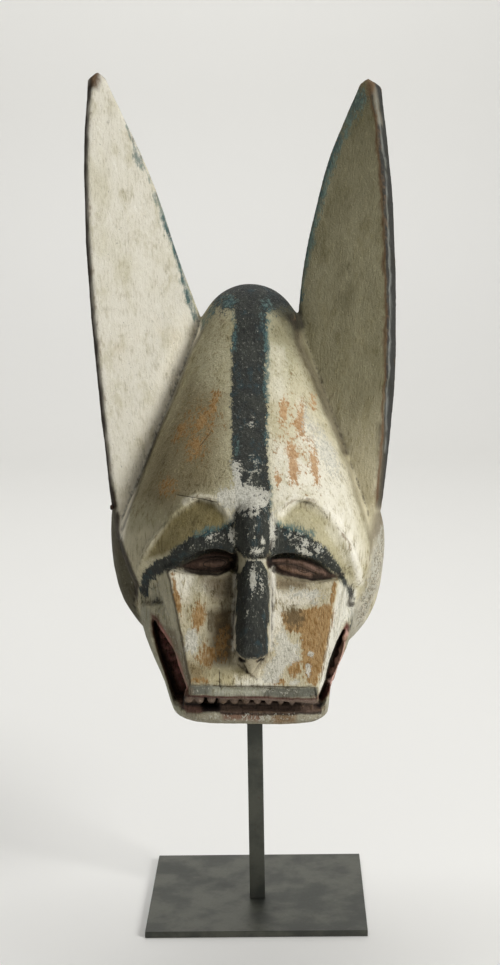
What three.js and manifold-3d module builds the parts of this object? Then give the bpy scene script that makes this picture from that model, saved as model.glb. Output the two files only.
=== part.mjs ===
// A carved and painted wooden helmet mask in the form of an animal with tall ears,
// standing on a square steel post and a square steel plate.
// Millimetres, +Z up, +X to the viewer's right, +Y away from the viewer.
// The origin is the centre of the plate's underside.

import * as THREE from "three";
import { mergeVertices } from "three/addons/utils/BufferGeometryUtils.js";
import Module from "manifold-3d";

const wasm = await Module();
wasm.setup();

// Driving dimensions of the stand
const PLATE_SIDE = 170;
const PLATE_THICKNESS = 5;
const POST_SIDE = 12;
const POST_SETBACK = -11.3;
const POST_TOP = 440.2;
const FIT_GAP = 0.3;

// Where the carving stands: its own origin is under the chin, on its middle plane
const MASK_POSITION = new THREE.Vector3(-7.0, -11.6, 175.2);
const MASK_TURN = THREE.MathUtils.degToRad(2.5);
const MASK_ROLL = THREE.MathUtils.degToRad(1.8);

// Driving dimensions of the dome, in the carving's own frame
const CAP_RADIUS = 39;
const CAP_HEIGHT = 278;
const CAP_START = THREE.MathUtils.degToRad(21);
const CAP_TIP = 0.02;
const AXIS_TOP = { y: 20, z: 290 };
const AXIS_LEAN = 0.336;
const FACE_AXIS = { y: -40, z: 100, lean: 0.1 };
const HEAD_BACK = 54;
const HEAD_AROUND = 52;
const LID_POCKET = 4.5;
const LID_INSET = 0.08;

// Half width, front face and squareness of the face and dome at chosen heights
const FACE_LEVELS = [0, 1.5, 4, 10, 18, 27, 38, 50, 64, 78, 92, 104, 114];
const DOME_BASE = 125;
const JAW_DRIFT = { below: 24, rate: 0.11 };
const FACE_STATIONS = [
  { z: 0, halfWidth: 53, front: -99, squareness: 4.5 },
  { z: 3, halfWidth: 57.5, front: -104, squareness: 4.5 },
  { z: 10, halfWidth: 60, front: -106, squareness: 4.5 },
  { z: 24, halfWidth: 63.5, front: -100, squareness: 3.6 },
  { z: 36, halfWidth: 70, front: -97, squareness: 3 },
  { z: 50, halfWidth: 76.5, front: -94, squareness: 2.7 },
  { z: 70, halfWidth: 82.5, front: -88, squareness: 2.5 },
  { z: 92, halfWidth: 86, front: -84, squareness: 2.3 },
  { z: 108, halfWidth: 94, front: -82, squareness: 2.2 },
  { z: 125, halfWidth: 98.5, front: -87, squareness: 2 },
  { z: 143, halfWidth: 95, front: -98, squareness: 2 },
  { z: 165, halfWidth: 85, front: -105, squareness: 2 },
  { z: 227, halfWidth: 60.5, front: -60, squareness: 2 },
  { z: 288, halfWidth: 37, front: -15.5, squareness: 2 },
];

// The helmet's side walls, which show as a rim outside the cheeks
const WALL_STATIONS = [
  { z: 40, halfWidth: 74, front: -34 },
  { z: 56, halfWidth: 88.5, front: -35 },
  { z: 70, halfWidth: 97.5, front: -37 },
  { z: 86, halfWidth: 102.5, front: -40 },
  { z: 104, halfWidth: 105.3, front: -42 },
  { z: 122, halfWidth: 106.5, front: -43 },
  { z: 142, halfWidth: 105, front: -42 },
  { z: 160, halfWidth: 99, front: -36 },
  { z: 180, halfWidth: 88, front: -26 },
  { z: 205, halfWidth: 70, front: -10 },
];
const WALL_SQUARENESS = { low: 3.4, high: 2 };
const WALL_BACK = { low: 63, high: 52 };
const WALL_SKEW = -0.055;
const WALL_BLEND_BASE = 125;
const CREVICE_WIDTH = 3;
const CREVICE_END = -32;

// The hollow for the wearer's head, open below and behind
const HOLLOW_LEVELS = [-12, 45, 62, 82, 100, 120, 140, 165, 200, 224, 238, 254, 266];
const HOLLOW_STATIONS = [
  { z: -12, halfWidth: 46, front: -26, back: 140 },
  { z: 45, halfWidth: 62, front: -32, back: 140 },
  { z: 62, halfWidth: 74, front: -38, back: 140 },
  { z: 82, halfWidth: 88, front: -50, back: 140 },
  { z: 110, halfWidth: 94, front: -62, back: 140 },
  { z: 140, halfWidth: 82, front: -68, back: 140 },
  { z: 165, halfWidth: 71, front: -66, back: 140 },
  { z: 200, halfWidth: 57, front: -56, back: 140 },
  { z: 224, halfWidth: 48, front: -44, back: 140 },
  { z: 238, halfWidth: 42, front: -34, back: 44 },
  { z: 266, halfWidth: 31, front: -15, back: 42 },
];
const RIM_WIDTH = 260;
const RIM_PROFILE = [
  [-27, -20], [-27, 4], [-20, 22], [-10, 40], [8, 54], [34, 64], [64, 72], [150, 84], [150, -20],
];

// Ears: flat blades that stand on the dome's sides, each with its own outline.
// Points are measured outwards and upwards from the root, in the plane of the blade.
const EAR_LEAN = THREE.MathUtils.degToRad(11.3);
const EAR_EDGE = 2;
const EARS = [
  {
    side: -1,
    root: new THREE.Vector3(-37, 20, 288),
    turn: THREE.MathUtils.degToRad(20),
    thickness: 12,
    inner: [[0, 0], [17, 52], [35, 112], [67.5, 187.5]],
    tip: [73.5, 191.8],
    outer: [[79, 187.5], [85.8, 122], [87.4, 40], [83.6, -60], [78.5, -139], [76, -165]],
  },
  {
    side: 1,
    root: new THREE.Vector3(36, 20, 290),
    turn: THREE.MathUtils.degToRad(33),
    thickness: 15,
    inner: [[0, 0], [-0.5, 45], [10.2, 122], [30, 184]],
    tip: [36.5, 188.6],
    outer: [[43, 184], [65.5, 90], [82, -20], [85.5, -115], [83, -165]],
  },
];
const EAR_ROOT = { inwards: 22, top: -12 };

// Muzzle: a plate that widens upwards, with sides that spread towards the cheeks
const MUZZLE_SKEW = -0.05;
const MUZZLE = { bottom: 24, top: 110.8, back: -46 };
const PLATE_FACE = { y: -92.5, z: 112, slope: 0.27 };
const PLATE_WIDTH = { half: 47.3, center: 3.3, z: 38, spread: 0.2125, drift: -0.014 };
const CHEEK_SPREAD = { base: 0.28, z: 30, rise: 0.002 };
const UPPER_LIP = { half: 47, radius: 5, center: 3.3, y: -113, z: 27.2 };

// Mouth: a slot around three sides of the muzzle
const MOUTH_LEFT = [[-73.5, 75.5], [-55.5, 51], [-49.5, 34], [-45.5, 24.3]];
const MOUTH_LEFT_OUTER = [[-55, 12], [-61, 28.5], [-68.5, 49]];
const MOUTH_RIGHT = [[49, 19.5], [56, 32], [61, 50], [73.5, 70.5]];
const MOUTH_RIGHT_OUTER = [[70, 47], [64, 28.5], [56, 11.5]];
const MOUTH_FLOOR = { y: -62, z: 15, rise: 0.42 };
const MOUTH_FRONT = -140;
const TEETH = { count: 11, left: -44.5, right: 39.5, top: 27, tip: 17.5, y: -107 };
const TOOTH_RADIUS = { root: 2.8, tip: 1.25 };
const LOWER_TEETH = [
  { left: -48, right: -35.5 }, { left: -23, right: -10.5 }, { left: -9.5, right: 3.5 },
  { left: 4.5, right: 16.5 }, { left: 17.5, right: 30 }, { left: 31, right: 47.5 },
];
const LOWER_TEETH_BOX = { bottom: 8, top: 17.5, front: -100, back: -88 };
const GUM = { width: 96, depth: 32, top: 14.5, front: -90 };

// Nose, boss, lids and eyes
const NOSE = {
  top: 127,
  nostrils: 61,
  point: 41.5,
  topHalf: 12,
  bottomHalf: 14,
  topY: -108,
  tipY: -137,
  underShare: 0.25,
  pointWidth: 0.06,
  underCurve: 0.8,
  squareness: 2.8,
  base: 12,
  root: 16,
};
const NOSE_LEAN = { bottom: 1.2, top: 3.4 };
const NOSTRIL = { radius: 3.3, end: 1.5, spread: 6.8, depth: 16, y: -129, z: 54.5 };
const NOSTRIL_TILT = THREE.MathUtils.degToRad(18);
const BOSS = { center: new THREE.Vector3(1, -100, 146.5), size: new THREE.Vector3(14, 20, 23.5) };
const LID_STATIONS = [
  { z: 80, halfWidth: 83.5, front: -84 },
  { z: 96, halfWidth: 88, front: -84.5 },
  { z: 108, halfWidth: 95.5, front: -91 },
  { z: 118, halfWidth: 98.5, front: -99 },
  { z: 128, halfWidth: 98, front: -106.5 },
  { z: 138, halfWidth: 95, front: -108 },
  { z: 150, halfWidth: 89, front: -105 },
  { z: 170, halfWidth: 79, front: -97 },
];
const LID_BACK = 20;
const LID_ARCH = [[13, 140], [19, 158], [34, 167.5], [50, 160], [66, 142], [79, 122], [87, 92]];
const LID_FOOT = [[80, 80], [66, 84], [13, 114]];
const CUT_DEPTH = 120;
const EYE_STRETCH = { left: 0.95, right: 1.06 };
const EYE_ARCH = [[9.5, 122.5], [17, 128.5], [28, 130], [40, 126.5], [51, 118.5], [60, 110.5]];
const EYE_SILL = [[36, 103.5], [9.5, 115]];
const EYE_FLOOR = -85.5;
const EYE_BALL = {
  center: new THREE.Vector3(34, -82, 117),
  size: new THREE.Vector3(23.5, 8, 8.5),
  tilt: THREE.MathUtils.degToRad(13),
};

// The nail in the viewer's left temple
const NAIL = { away: 70.2, up: -141, head: 2.1, crown: 1.7, headHeight: 1.3, shank: 1.1, length: 9 };

// One shared vertex wherever a geometry's faces meet
function welded(geometry) {
  const bare = new THREE.BufferGeometry();
  bare.setAttribute("position", geometry.getAttribute("position"));
  bare.setIndex(geometry.index);
  return mergeVertices(bare, 1e-3);
}

// The corners of every face, without the faces that welding has closed up
function wholeFaces(geometry) {
  const corners = geometry.index.array;
  const kept = [];
  for (let i = 0; i < corners.length; i += 3) {
    const [a, b, c] = [corners[i], corners[i + 1], corners[i + 2]];
    if (a !== b && b !== c && c !== a) kept.push(a, b, c);
  }
  return kept;
}

// A closed geometry as a body that can be joined and cut
function solid(geometry) {
  const merged = welded(geometry);
  return new wasm.Manifold(new wasm.Mesh({
    numProp: 3,
    vertProperties: Float32Array.from(merged.getAttribute("position").array),
    triVerts: Uint32Array.from(wholeFaces(merged)),
  }));
}

// The same shape on the viewer's left when side is -1, with its faces still pointing out
function onSide(geometry, side) {
  if (side > 0) return geometry;
  const merged = welded(geometry).scale(-1, 1, 1);
  const corners = merged.index.array;
  for (let i = 0; i < corners.length; i += 3) {
    [corners[i + 1], corners[i + 2]] = [corners[i + 2], corners[i + 1]];
  }
  return merged;
}

// The faces that hang together edge to edge in the largest skin, without the specks and bubbles
// that joined pieces leave where they only just meet
function largestSkin(corners) {
  const leader = Array.from({ length: corners.length / 3 }, (_, face) => face);
  const leaderOf = (face) => {
    let lead = face;
    while (leader[lead] !== lead) lead = leader[lead];
    leader[face] = lead;
    return lead;
  };
  const owner = new Map();
  corners.forEach((corner, i) => {
    const face = Math.floor(i / 3);
    const next = corners[3 * face + ((i + 1) % 3)];
    const edge = `${Math.min(corner, next)},${Math.max(corner, next)}`;
    if (owner.has(edge)) leader[leaderOf(face)] = leaderOf(owner.get(edge));
    else owner.set(edge, face);
  });
  const skins = new Map();
  corners.forEach((corner, i) => {
    const lead = leaderOf(Math.floor(i / 3));
    if (!skins.has(lead)) skins.set(lead, []);
    skins.get(lead).push(corner);
  });
  return [...skins.values()].reduce((largest, skin) => (skin.length > largest.length ? skin : largest));
}

function geometryOf(body) {
  const { vertProperties, triVerts } = body.getMesh();
  const raw = new THREE.BufferGeometry();
  raw.setAttribute("position", new THREE.BufferAttribute(Float32Array.from(vertProperties), 3));
  raw.setIndex(new THREE.BufferAttribute(Uint32Array.from(triVerts), 1));
  const skin = welded(raw);
  skin.setIndex(largestSkin(wholeFaces(skin)));
  skin.computeVertexNormals();
  return skin;
}

// Moves every vertex of a geometry by a rule
function reshape(geometry, rule) {
  const position = geometry.getAttribute("position");
  const point = new THREE.Vector3();
  for (let i = 0; i < position.count; i += 1) {
    point.fromBufferAttribute(position, i);
    rule(point);
    position.setXYZ(i, point.x, point.y, point.z);
  }
  return geometry;
}

// Lowers the viewer's right of a geometry and raises its left, as the carver left it
function skewed(geometry, skew = MUZZLE_SKEW) {
  return reshape(geometry, (point) => { point.z += skew * point.x; });
}

// A smooth value at height z, between stations
function valueAt(stations, field, z) {
  const last = stations.length - 1;
  let i = 0;
  while (i < last - 1 && z > stations[i + 1].z) i += 1;
  const slopeAt = (k) => {
    const low = stations[Math.max(k - 1, 0)];
    const high = stations[Math.min(k + 1, last)];
    return (high[field] - low[field]) / (high.z - low.z);
  };
  const [from, to] = [stations[i], stations[i + 1]];
  const span = to.z - from.z;
  const t = THREE.MathUtils.clamp((z - from.z) / span, 0, 1);
  const rest = 1 - t;
  return (1 + 2 * t) * rest * rest * from[field] + t * rest * rest * span * slopeAt(i)
    + t * t * (3 - 2 * t) * to[field] - t * t * rest * span * slopeAt(i + 1);
}

function evenly(low, high, count) {
  return Array.from({ length: count + 1 }, (_, i) => THREE.MathUtils.lerp(low, high, i / count));
}

// A closed body from level sections, each a rounded outline with its own front and back
function loft(sections, around) {
  const rows = sections.length - 1;
  const blank = new THREE.CylinderGeometry(1, 1, 1, around, rows).rotateX(Math.PI / 2);
  return reshape(blank, (point) => {
    const section = sections[Math.round((point.z + 0.5) * rows)];
    const reach = Math.hypot(point.x, point.y);
    const across = reach > 0 ? point.x / reach : 0;
    const along = reach > 0 ? point.y / reach : 0;
    const squareness = along < 0 ? section.squareness : section.backSquareness;
    const depth = along < 0 ? section.center - section.front : section.back - section.center;
    const bulge = (value) => Math.sign(value) * Math.abs(value) ** (2 / squareness);
    point.x = reach * section.halfWidth * bulge(across);
    point.y = section.center + reach * depth * bulge(along);
    point.z = section.z;
  });
}

const axisAt = (z) => AXIS_TOP.y + AXIS_LEAN * (z - AXIS_TOP.z);
const faceCenter = (z) => Math.max(axisAt(z), FACE_AXIS.y + FACE_AXIS.lean * Math.max(z - FACE_AXIS.z, 0));

// The face and dome as one body, with its skin moved inwards by inset
function headBody(inset) {
  const capStart = CAP_HEIGHT + CAP_RADIUS * Math.sin(CAP_START);
  const wall = [...FACE_LEVELS, ...evenly(DOME_BASE, capStart, 12)].map((z) => {
    const halfWidth = valueAt(FACE_STATIONS, "halfWidth", z);
    const center = faceCenter(z);
    return {
      z,
      halfWidth: halfWidth - inset,
      front: valueAt(FACE_STATIONS, "front", z) + inset,
      back: Math.max(center + halfWidth, HEAD_BACK) - inset,
      squareness: valueAt(FACE_STATIONS, "squareness", z),
      backSquareness: 2,
      center,
    };
  });
  const radius = CAP_RADIUS - inset;
  const cap = evenly(CAP_START, Math.PI / 2, 5).slice(1).map((angle) => {
    const z = CAP_HEIGHT + radius * Math.sin(angle);
    const reach = radius * Math.max(Math.cos(angle), CAP_TIP);
    const center = axisAt(z);
    return {
      z,
      halfWidth: reach,
      front: center - reach,
      back: center + reach,
      squareness: 2,
      backSquareness: 2,
      center,
    };
  });
  return solid(reshape(loft([...wall, ...cap], HEAD_AROUND), (point) => {
    point.x += JAW_DRIFT.rate * Math.max(JAW_DRIFT.below - point.z, 0);
  }));
}

// The helmet's side walls run up into the dome, so they lose their squareness above the cheeks
function wallBlend({ low, high }, z) {
  const share = THREE.MathUtils.smoothstep(z, WALL_BLEND_BASE, WALL_STATIONS.at(-1).z);
  return THREE.MathUtils.lerp(low, high, share);
}

function helmetWall() {
  const sections = evenly(WALL_STATIONS[0].z, WALL_STATIONS.at(-1).z, 13).map((z) => ({
    z,
    halfWidth: valueAt(WALL_STATIONS, "halfWidth", z),
    front: valueAt(WALL_STATIONS, "front", z),
    back: wallBlend(WALL_BACK, z),
    squareness: wallBlend(WALL_SQUARENESS, z),
    backSquareness: wallBlend(WALL_SQUARENESS, z),
    center: 0,
  }));
  return solid(skewed(loft(sections, 44), WALL_SKEW));
}

function hollow() {
  const sections = HOLLOW_LEVELS.map((z) => ({
    z,
    halfWidth: valueAt(HOLLOW_STATIONS, "halfWidth", z),
    front: valueAt(HOLLOW_STATIONS, "front", z),
    back: valueAt(HOLLOW_STATIONS, "back", z),
    squareness: 2,
    backSquareness: 2.6,
    center: Math.max(axisAt(z), 0),
  }));
  const underRim = new THREE.Shape(RIM_PROFILE.map(([y, z]) => new THREE.Vector2(y, z)));
  const rim = new THREE.ExtrudeGeometry(underRim, { depth: RIM_WIDTH, bevelEnabled: false });
  rim.rotateX(Math.PI / 2).rotateZ(Math.PI / 2).translate(-RIM_WIDTH / 2, 0, 0);
  return solid(loft(sections, 40)).add(solid(rim));
}

function ear({ side, root, turn, thickness, inner, tip, outer }) {
  const at = ([away, up]) => new THREE.Vector2(side * away, up);
  const bottom = outer.at(-1)[1];
  const outline = new THREE.Shape();
  outline.moveTo(side * -EAR_ROOT.inwards, bottom);
  outline.lineTo(side * -EAR_ROOT.inwards, EAR_ROOT.top);
  outline.lineTo(...inner[0]);
  outline.splineThru(inner.slice(1).map(at));
  outline.lineTo(side * tip[0], tip[1]);
  outline.lineTo(side * outer[0][0], outer[0][1]);
  outline.splineThru(outer.slice(1).map(at));
  const points = outline.getPoints(5);
  const distinct = points.filter((point, i) => i === 0 || point.distanceTo(points[i - 1]) > 0.01);
  const blade = welded(new THREE.ExtrudeGeometry(new THREE.Shape(distinct), {
    depth: thickness - 2 * EAR_EDGE,
    bevelThickness: EAR_EDGE,
    bevelSize: EAR_EDGE,
    bevelOffset: -EAR_EDGE,
    bevelSegments: 2,
  }));
  blade.translate(0, 0, -thickness + EAR_EDGE).rotateX(Math.PI / 2);
  return solid(leaned(blade, { side, root, turn }));
}

// Puts what is shaped upright, facing the viewer, on a leaning and turned ear
function leaned(geometry, { side, root, turn }) {
  return geometry.rotateX(-EAR_LEAN).rotateZ(-side * turn).translate(root.x, root.y, root.z);
}

const plateY = (z) => PLATE_FACE.y - PLATE_FACE.slope * (PLATE_FACE.z - z);

function muzzle() {
  const block = reshape(new THREE.BoxGeometry(2, 1, 1, 2, 3, 6), (point) => {
    const z = THREE.MathUtils.lerp(MUZZLE.bottom, MUZZLE.top, point.z + 0.5);
    const y = THREE.MathUtils.lerp(plateY(z), MUZZLE.back, point.y + 0.5);
    const half = PLATE_WIDTH.half + PLATE_WIDTH.spread * (z - PLATE_WIDTH.z);
    const center = PLATE_WIDTH.center + PLATE_WIDTH.drift * (z - PLATE_WIDTH.z);
    const spread = CHEEK_SPREAD.base + CHEEK_SPREAD.rise * (z - CHEEK_SPREAD.z);
    point.set(center + point.x * (half + spread * (y - plateY(z))), y, z);
  });
  const lip = new THREE.CylinderGeometry(UPPER_LIP.radius, UPPER_LIP.radius, 2 * UPPER_LIP.half, 10);
  lip.rotateZ(Math.PI / 2).translate(UPPER_LIP.center, UPPER_LIP.y, UPPER_LIP.z);
  return solid(skewed(block)).add(solid(skewed(lip)));
}

function mouthSlot() {
  const ring = [...MOUTH_LEFT, ...MOUTH_RIGHT, ...MOUTH_RIGHT_OUTER, ...MOUTH_LEFT_OUTER];
  const outline = new THREE.Shape(ring.map(([x, z]) => new THREE.Vector2(x, z)));
  const cutter = new THREE.ExtrudeGeometry(outline, { depth: 1, bevelEnabled: false });
  return solid(reshape(cutter, (point) => {
    const [x, z] = [point.x, point.y];
    const floor = MOUTH_FLOOR.y + MOUTH_FLOOR.rise * (z - MOUTH_FLOOR.z);
    point.set(x, point.z > 0.5 ? MOUTH_FRONT : floor, z);
  }));
}

function teeth() {
  const height = TEETH.top - TEETH.tip;
  const row = evenly(TEETH.left, TEETH.right, TEETH.count - 1).map((x) => {
    const tooth = new THREE.CylinderGeometry(TOOTH_RADIUS.root, TOOTH_RADIUS.tip, height, 6);
    tooth.rotateX(Math.PI / 2).translate(x, TEETH.y, TEETH.tip + height / 2);
    return solid(skewed(tooth));
  });
  const { bottom, top, front, back } = LOWER_TEETH_BOX;
  const blocks = LOWER_TEETH.map(({ left, right }) => {
    const block = new THREE.BoxGeometry(right - left, back - front, top - bottom);
    return solid(skewed(block.translate((left + right) / 2, (front + back) / 2, (top + bottom) / 2)));
  });
  const gum = new THREE.BoxGeometry(GUM.width, GUM.depth, GUM.top - bottom);
  gum.translate(0, GUM.front + GUM.depth / 2, (GUM.top + bottom) / 2);
  return [...row, ...blocks, solid(gum)];
}

// A bar with a rounded ridge that ends below in a triangular underside
function nose() {
  const { lerp } = THREE.MathUtils;
  const bulge = (value) => Math.sign(value) * Math.abs(value) ** (2 / NOSE.squareness);
  const bar = new THREE.CylinderGeometry(1, 1, 1, 20, 8).rotateX(Math.PI / 2);
  return solid(skewed(reshape(bar, (point) => {
    const level = point.z + 0.5;
    const under = level < NOSE.underShare;
    const share = under ? level / NOSE.underShare : (level - NOSE.underShare) / (1 - NOSE.underShare);
    const z = under ? lerp(NOSE.point, NOSE.nostrils, share) : lerp(NOSE.nostrils, NOSE.top, share);
    const taper = under ? Math.max(share, NOSE.pointWidth) : 1;
    const half = under ? NOSE.bottomHalf * taper : lerp(NOSE.bottomHalf, NOSE.topHalf, share);
    const ridge = under
      ? lerp(plateY(z), NOSE.tipY, taper ** NOSE.underCurve)
      : lerp(NOSE.tipY, NOSE.topY, share);
    const base = plateY(z) + NOSE.base;
    const y = point.y < 0 ? base + (base - ridge) * bulge(point.y) : plateY(z) + NOSE.root * point.y;
    const middle = lerp(NOSE_LEAN.bottom, NOSE_LEAN.top, (z - NOSE.nostrils) / (NOSE.top - NOSE.nostrils));
    point.set(middle + half * bulge(point.x), Math.min(y, plateY(z) + NOSE.root), z);
  })));
}

function nostrils() {
  return [-1, 1].map((side) => {
    const hole = new THREE.CylinderGeometry(NOSTRIL.radius, NOSTRIL.end, NOSTRIL.depth, 8);
    hole.rotateX(Math.PI - NOSTRIL_TILT);
    hole.translate(NOSE_LEAN.bottom + side * NOSTRIL.spread, NOSTRIL.y, NOSTRIL.z);
    return solid(skewed(hole));
  });
}

function ellipsoid(size, columns, rows) {
  return new THREE.SphereGeometry(1, columns, rows).scale(size.x, size.y, size.z);
}

function boss() {
  const { center, size } = BOSS;
  return solid(ellipsoid(size, 18, 12).translate(center.x, center.y, center.z));
}

// The outline of a brow lid seen from the front, cut straight back through the face
function lidArch(side) {
  const outline = new THREE.Shape();
  outline.moveTo(...LID_ARCH[0]);
  outline.splineThru(LID_ARCH.slice(1).map(([x, z]) => new THREE.Vector2(x, z)));
  LID_FOOT.forEach(([x, z]) => outline.lineTo(x, z));
  const block = welded(new THREE.ExtrudeGeometry(new THREE.Shape(outline.getPoints(4)), {
    depth: CUT_DEPTH,
    bevelEnabled: false,
  }));
  return solid(onSide(block.rotateX(Math.PI / 2), side));
}

// Both lids' surface, moved inwards by inset, before it is trimmed to their outline
function lidSurface(inset) {
  const sections = evenly(LID_STATIONS[0].z, LID_STATIONS.at(-1).z, 11).map((z) => {
    const center = faceCenter(z);
    return {
      z,
      halfWidth: valueAt(LID_STATIONS, "halfWidth", z) - inset,
      front: valueAt(LID_STATIONS, "front", z) + inset,
      back: center + LID_BACK - inset,
      squareness: 2,
      backSquareness: 2,
      center,
    };
  });
  return solid(loft(sections, 56));
}

// What belongs to an eye, moved to its side: the viewer's left one is a little shorter
function asEye(geometry, side) {
  const stretch = side < 0 ? EYE_STRETCH.left : EYE_STRETCH.right;
  return solid(skewed(onSide(geometry.scale(stretch, 1, 1), side)));
}

// An opening under the lid, arched above and nearly level below, cut straight back
function eyeOpening(side) {
  const outline = new THREE.Shape();
  outline.moveTo(...EYE_ARCH[0]);
  outline.splineThru(EYE_ARCH.slice(1).map(([x, z]) => new THREE.Vector2(x, z)));
  outline.quadraticCurveTo(...EYE_SILL.flat());
  const points = new THREE.Shape(outline.getPoints(4));
  const cutter = welded(new THREE.ExtrudeGeometry(points, { depth: CUT_DEPTH, bevelEnabled: false }));
  return asEye(cutter.rotateX(Math.PI / 2).translate(0, EYE_FLOOR, 0), side);
}

function eyeBall(side) {
  const { center, size, tilt } = EYE_BALL;
  const ball = ellipsoid(size, 18, 10).rotateY(tilt).rotateZ(tilt);
  return asEye(ball.translate(center.x, center.y, center.z), side);
}

function joined(bodies) {
  return bodies.reduce((whole, body) => whole.add(body));
}

// The space in front of the side walls, where a crevice parts them from the cheeks
function creviceSpace() {
  const frontHalf = new THREE.BoxGeometry(300, 200, 400).translate(0, CREVICE_END - 100, 150);
  return headBody(-CREVICE_WIDTH).intersect(solid(frontHalf));
}

function carving() {
  const sides = [-1, 1];
  const arches = joined(sides.map(lidArch));
  const aboveLids = arches.subtract(headBody(LID_POCKET).add(lidSurface(0)));
  const head = headBody(0).add(arches.intersect(lidSurface(LID_INSET))).subtract(aboveLids);
  const walls = helmetWall().subtract(creviceSpace());
  const inside = hollow();
  const block = joined([head, walls, ...EARS.map(ear), muzzle()]);
  const carved = block.subtract(joined([inside, mouthSlot(), ...sides.map(eyeOpening)]));
  const features = joined([boss(), nose(), ...teeth(), ...sides.map(eyeBall)]).subtract(inside);
  return carved.add(features).subtract(joined([...nostrils(), solid(nail(FIT_GAP))]));
}

const paintedWood = new THREE.MeshStandardMaterial({ color: 0xcfc4a4, roughness: 0.8, metalness: 0 });
const darkSteel = new THREE.MeshStandardMaterial({ color: 0x4a4a44, roughness: 0.5, metalness: 0.7 });
const ironNail = new THREE.MeshStandardMaterial({ color: 0x241f1b, roughness: 0.7, metalness: 0.6 });

function named(name, geometry, material) {
  const mesh = new THREE.Mesh(geometry, material);
  mesh.name = name;
  return mesh;
}

// A nail driven into the outer edge of the viewer's left ear, its shank and hole apart by clearance
function nail(clearance) {
  const { away, up, head, crown, headHeight, shank, length } = NAIL;
  const radius = shank + clearance;
  const top = length + headHeight;
  const profile = [
    [0, -clearance], [radius, -clearance], [radius, length], [head, length], [crown, top], [0, top],
  ];
  const points = profile.map(([across, along]) => new THREE.Vector2(across, along));
  const shape = welded(new THREE.LatheGeometry(points, 8)).rotateZ(Math.PI / 2);
  shape.translate(-away, EARS[0].thickness / 2, up);
  return leaned(shape, EARS[0]);
}

const mask = new THREE.Group();
mask.position.copy(MASK_POSITION);
mask.rotation.set(0, MASK_ROLL, MASK_TURN, "ZYX");
mask.add(named("helmet_mask", geometryOf(carving()), paintedWood));
mask.add(named("temple_nail", nail(0), ironNail));

const postBottom = PLATE_THICKNESS + FIT_GAP;
const bar = new THREE.BoxGeometry(POST_SIDE, POST_SIDE, POST_TOP - postBottom);
const post = named("stand_post", bar, darkSteel);
post.position.set(0, POST_SETBACK, (POST_TOP + postBottom) / 2);

const foot = new THREE.BoxGeometry(PLATE_SIDE, PLATE_SIDE, PLATE_THICKNESS);
const plate = named("stand_base_plate", foot, darkSteel);
plate.position.z = PLATE_THICKNESS / 2;

const model = new THREE.Group();
model.add(mask, post, plate);

export default model;
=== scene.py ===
"""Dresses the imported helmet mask: worn paint on carved wood, held up by a dark steel stand."""
import logging
import math
from dataclasses import dataclass, field
from enum import Enum
from typing import Iterable, Sequence, Union

import bmesh
import bpy
import numpy as np
from mathutils import Matrix, Vector
from mathutils.bvhtree import BVHTree
from mathutils.kdtree import KDTree


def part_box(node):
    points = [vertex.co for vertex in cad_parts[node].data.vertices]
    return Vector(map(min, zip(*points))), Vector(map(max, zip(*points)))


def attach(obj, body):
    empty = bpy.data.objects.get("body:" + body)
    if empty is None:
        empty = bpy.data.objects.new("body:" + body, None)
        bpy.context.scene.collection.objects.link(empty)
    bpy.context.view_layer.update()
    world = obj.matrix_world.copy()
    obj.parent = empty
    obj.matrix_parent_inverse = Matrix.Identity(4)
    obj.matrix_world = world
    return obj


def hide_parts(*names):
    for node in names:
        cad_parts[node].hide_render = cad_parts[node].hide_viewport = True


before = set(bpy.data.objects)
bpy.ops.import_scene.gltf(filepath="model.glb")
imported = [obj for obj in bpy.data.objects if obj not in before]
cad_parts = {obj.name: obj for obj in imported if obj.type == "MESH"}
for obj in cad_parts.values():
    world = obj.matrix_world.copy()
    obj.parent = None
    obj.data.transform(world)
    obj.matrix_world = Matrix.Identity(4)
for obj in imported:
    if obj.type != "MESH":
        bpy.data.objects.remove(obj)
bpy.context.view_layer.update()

log = logging.getLogger("helmet_mask")

MM = 0.001
PHOTO_WIDTH = 500
PHOTO_HEIGHT = 965
LEVEL_RISE = 1e-9
Colour = tuple[float, float, float]
Pixel = tuple[float, float]


def linear(red: float, green: float, blue: float) -> Colour:
    """A colour read as 0 to 255 on a screen, turned to the light values that a shader takes.

    Args:
        red: Screen red, 0 to 255.
        green: Screen green, 0 to 255.
        blue: Screen blue, 0 to 255.

    Returns:
        The three linear values.
    """
    shares = (value / 255.0 for value in (red, green, blue))
    return tuple(share / 12.92 if share <= 0.04045 else ((share + 0.055) / 1.055) ** 2.4
                 for share in shares)


def step_between(values: np.ndarray, low: float, high: float) -> np.ndarray:
    """A smooth rise from 0 at low to 1 at high, which may run downwards too."""
    share = np.clip((values - low) / (high - low), 0.0, 1.0)
    return share * share * (3.0 - 2.0 * share)


class Finish(Enum):
    """The record's material slots."""

    PAINTED_WOOD = "painted_wood"
    DARK_STEEL = "dark_steel"
    IRON_NAIL = "iron_nail"


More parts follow.
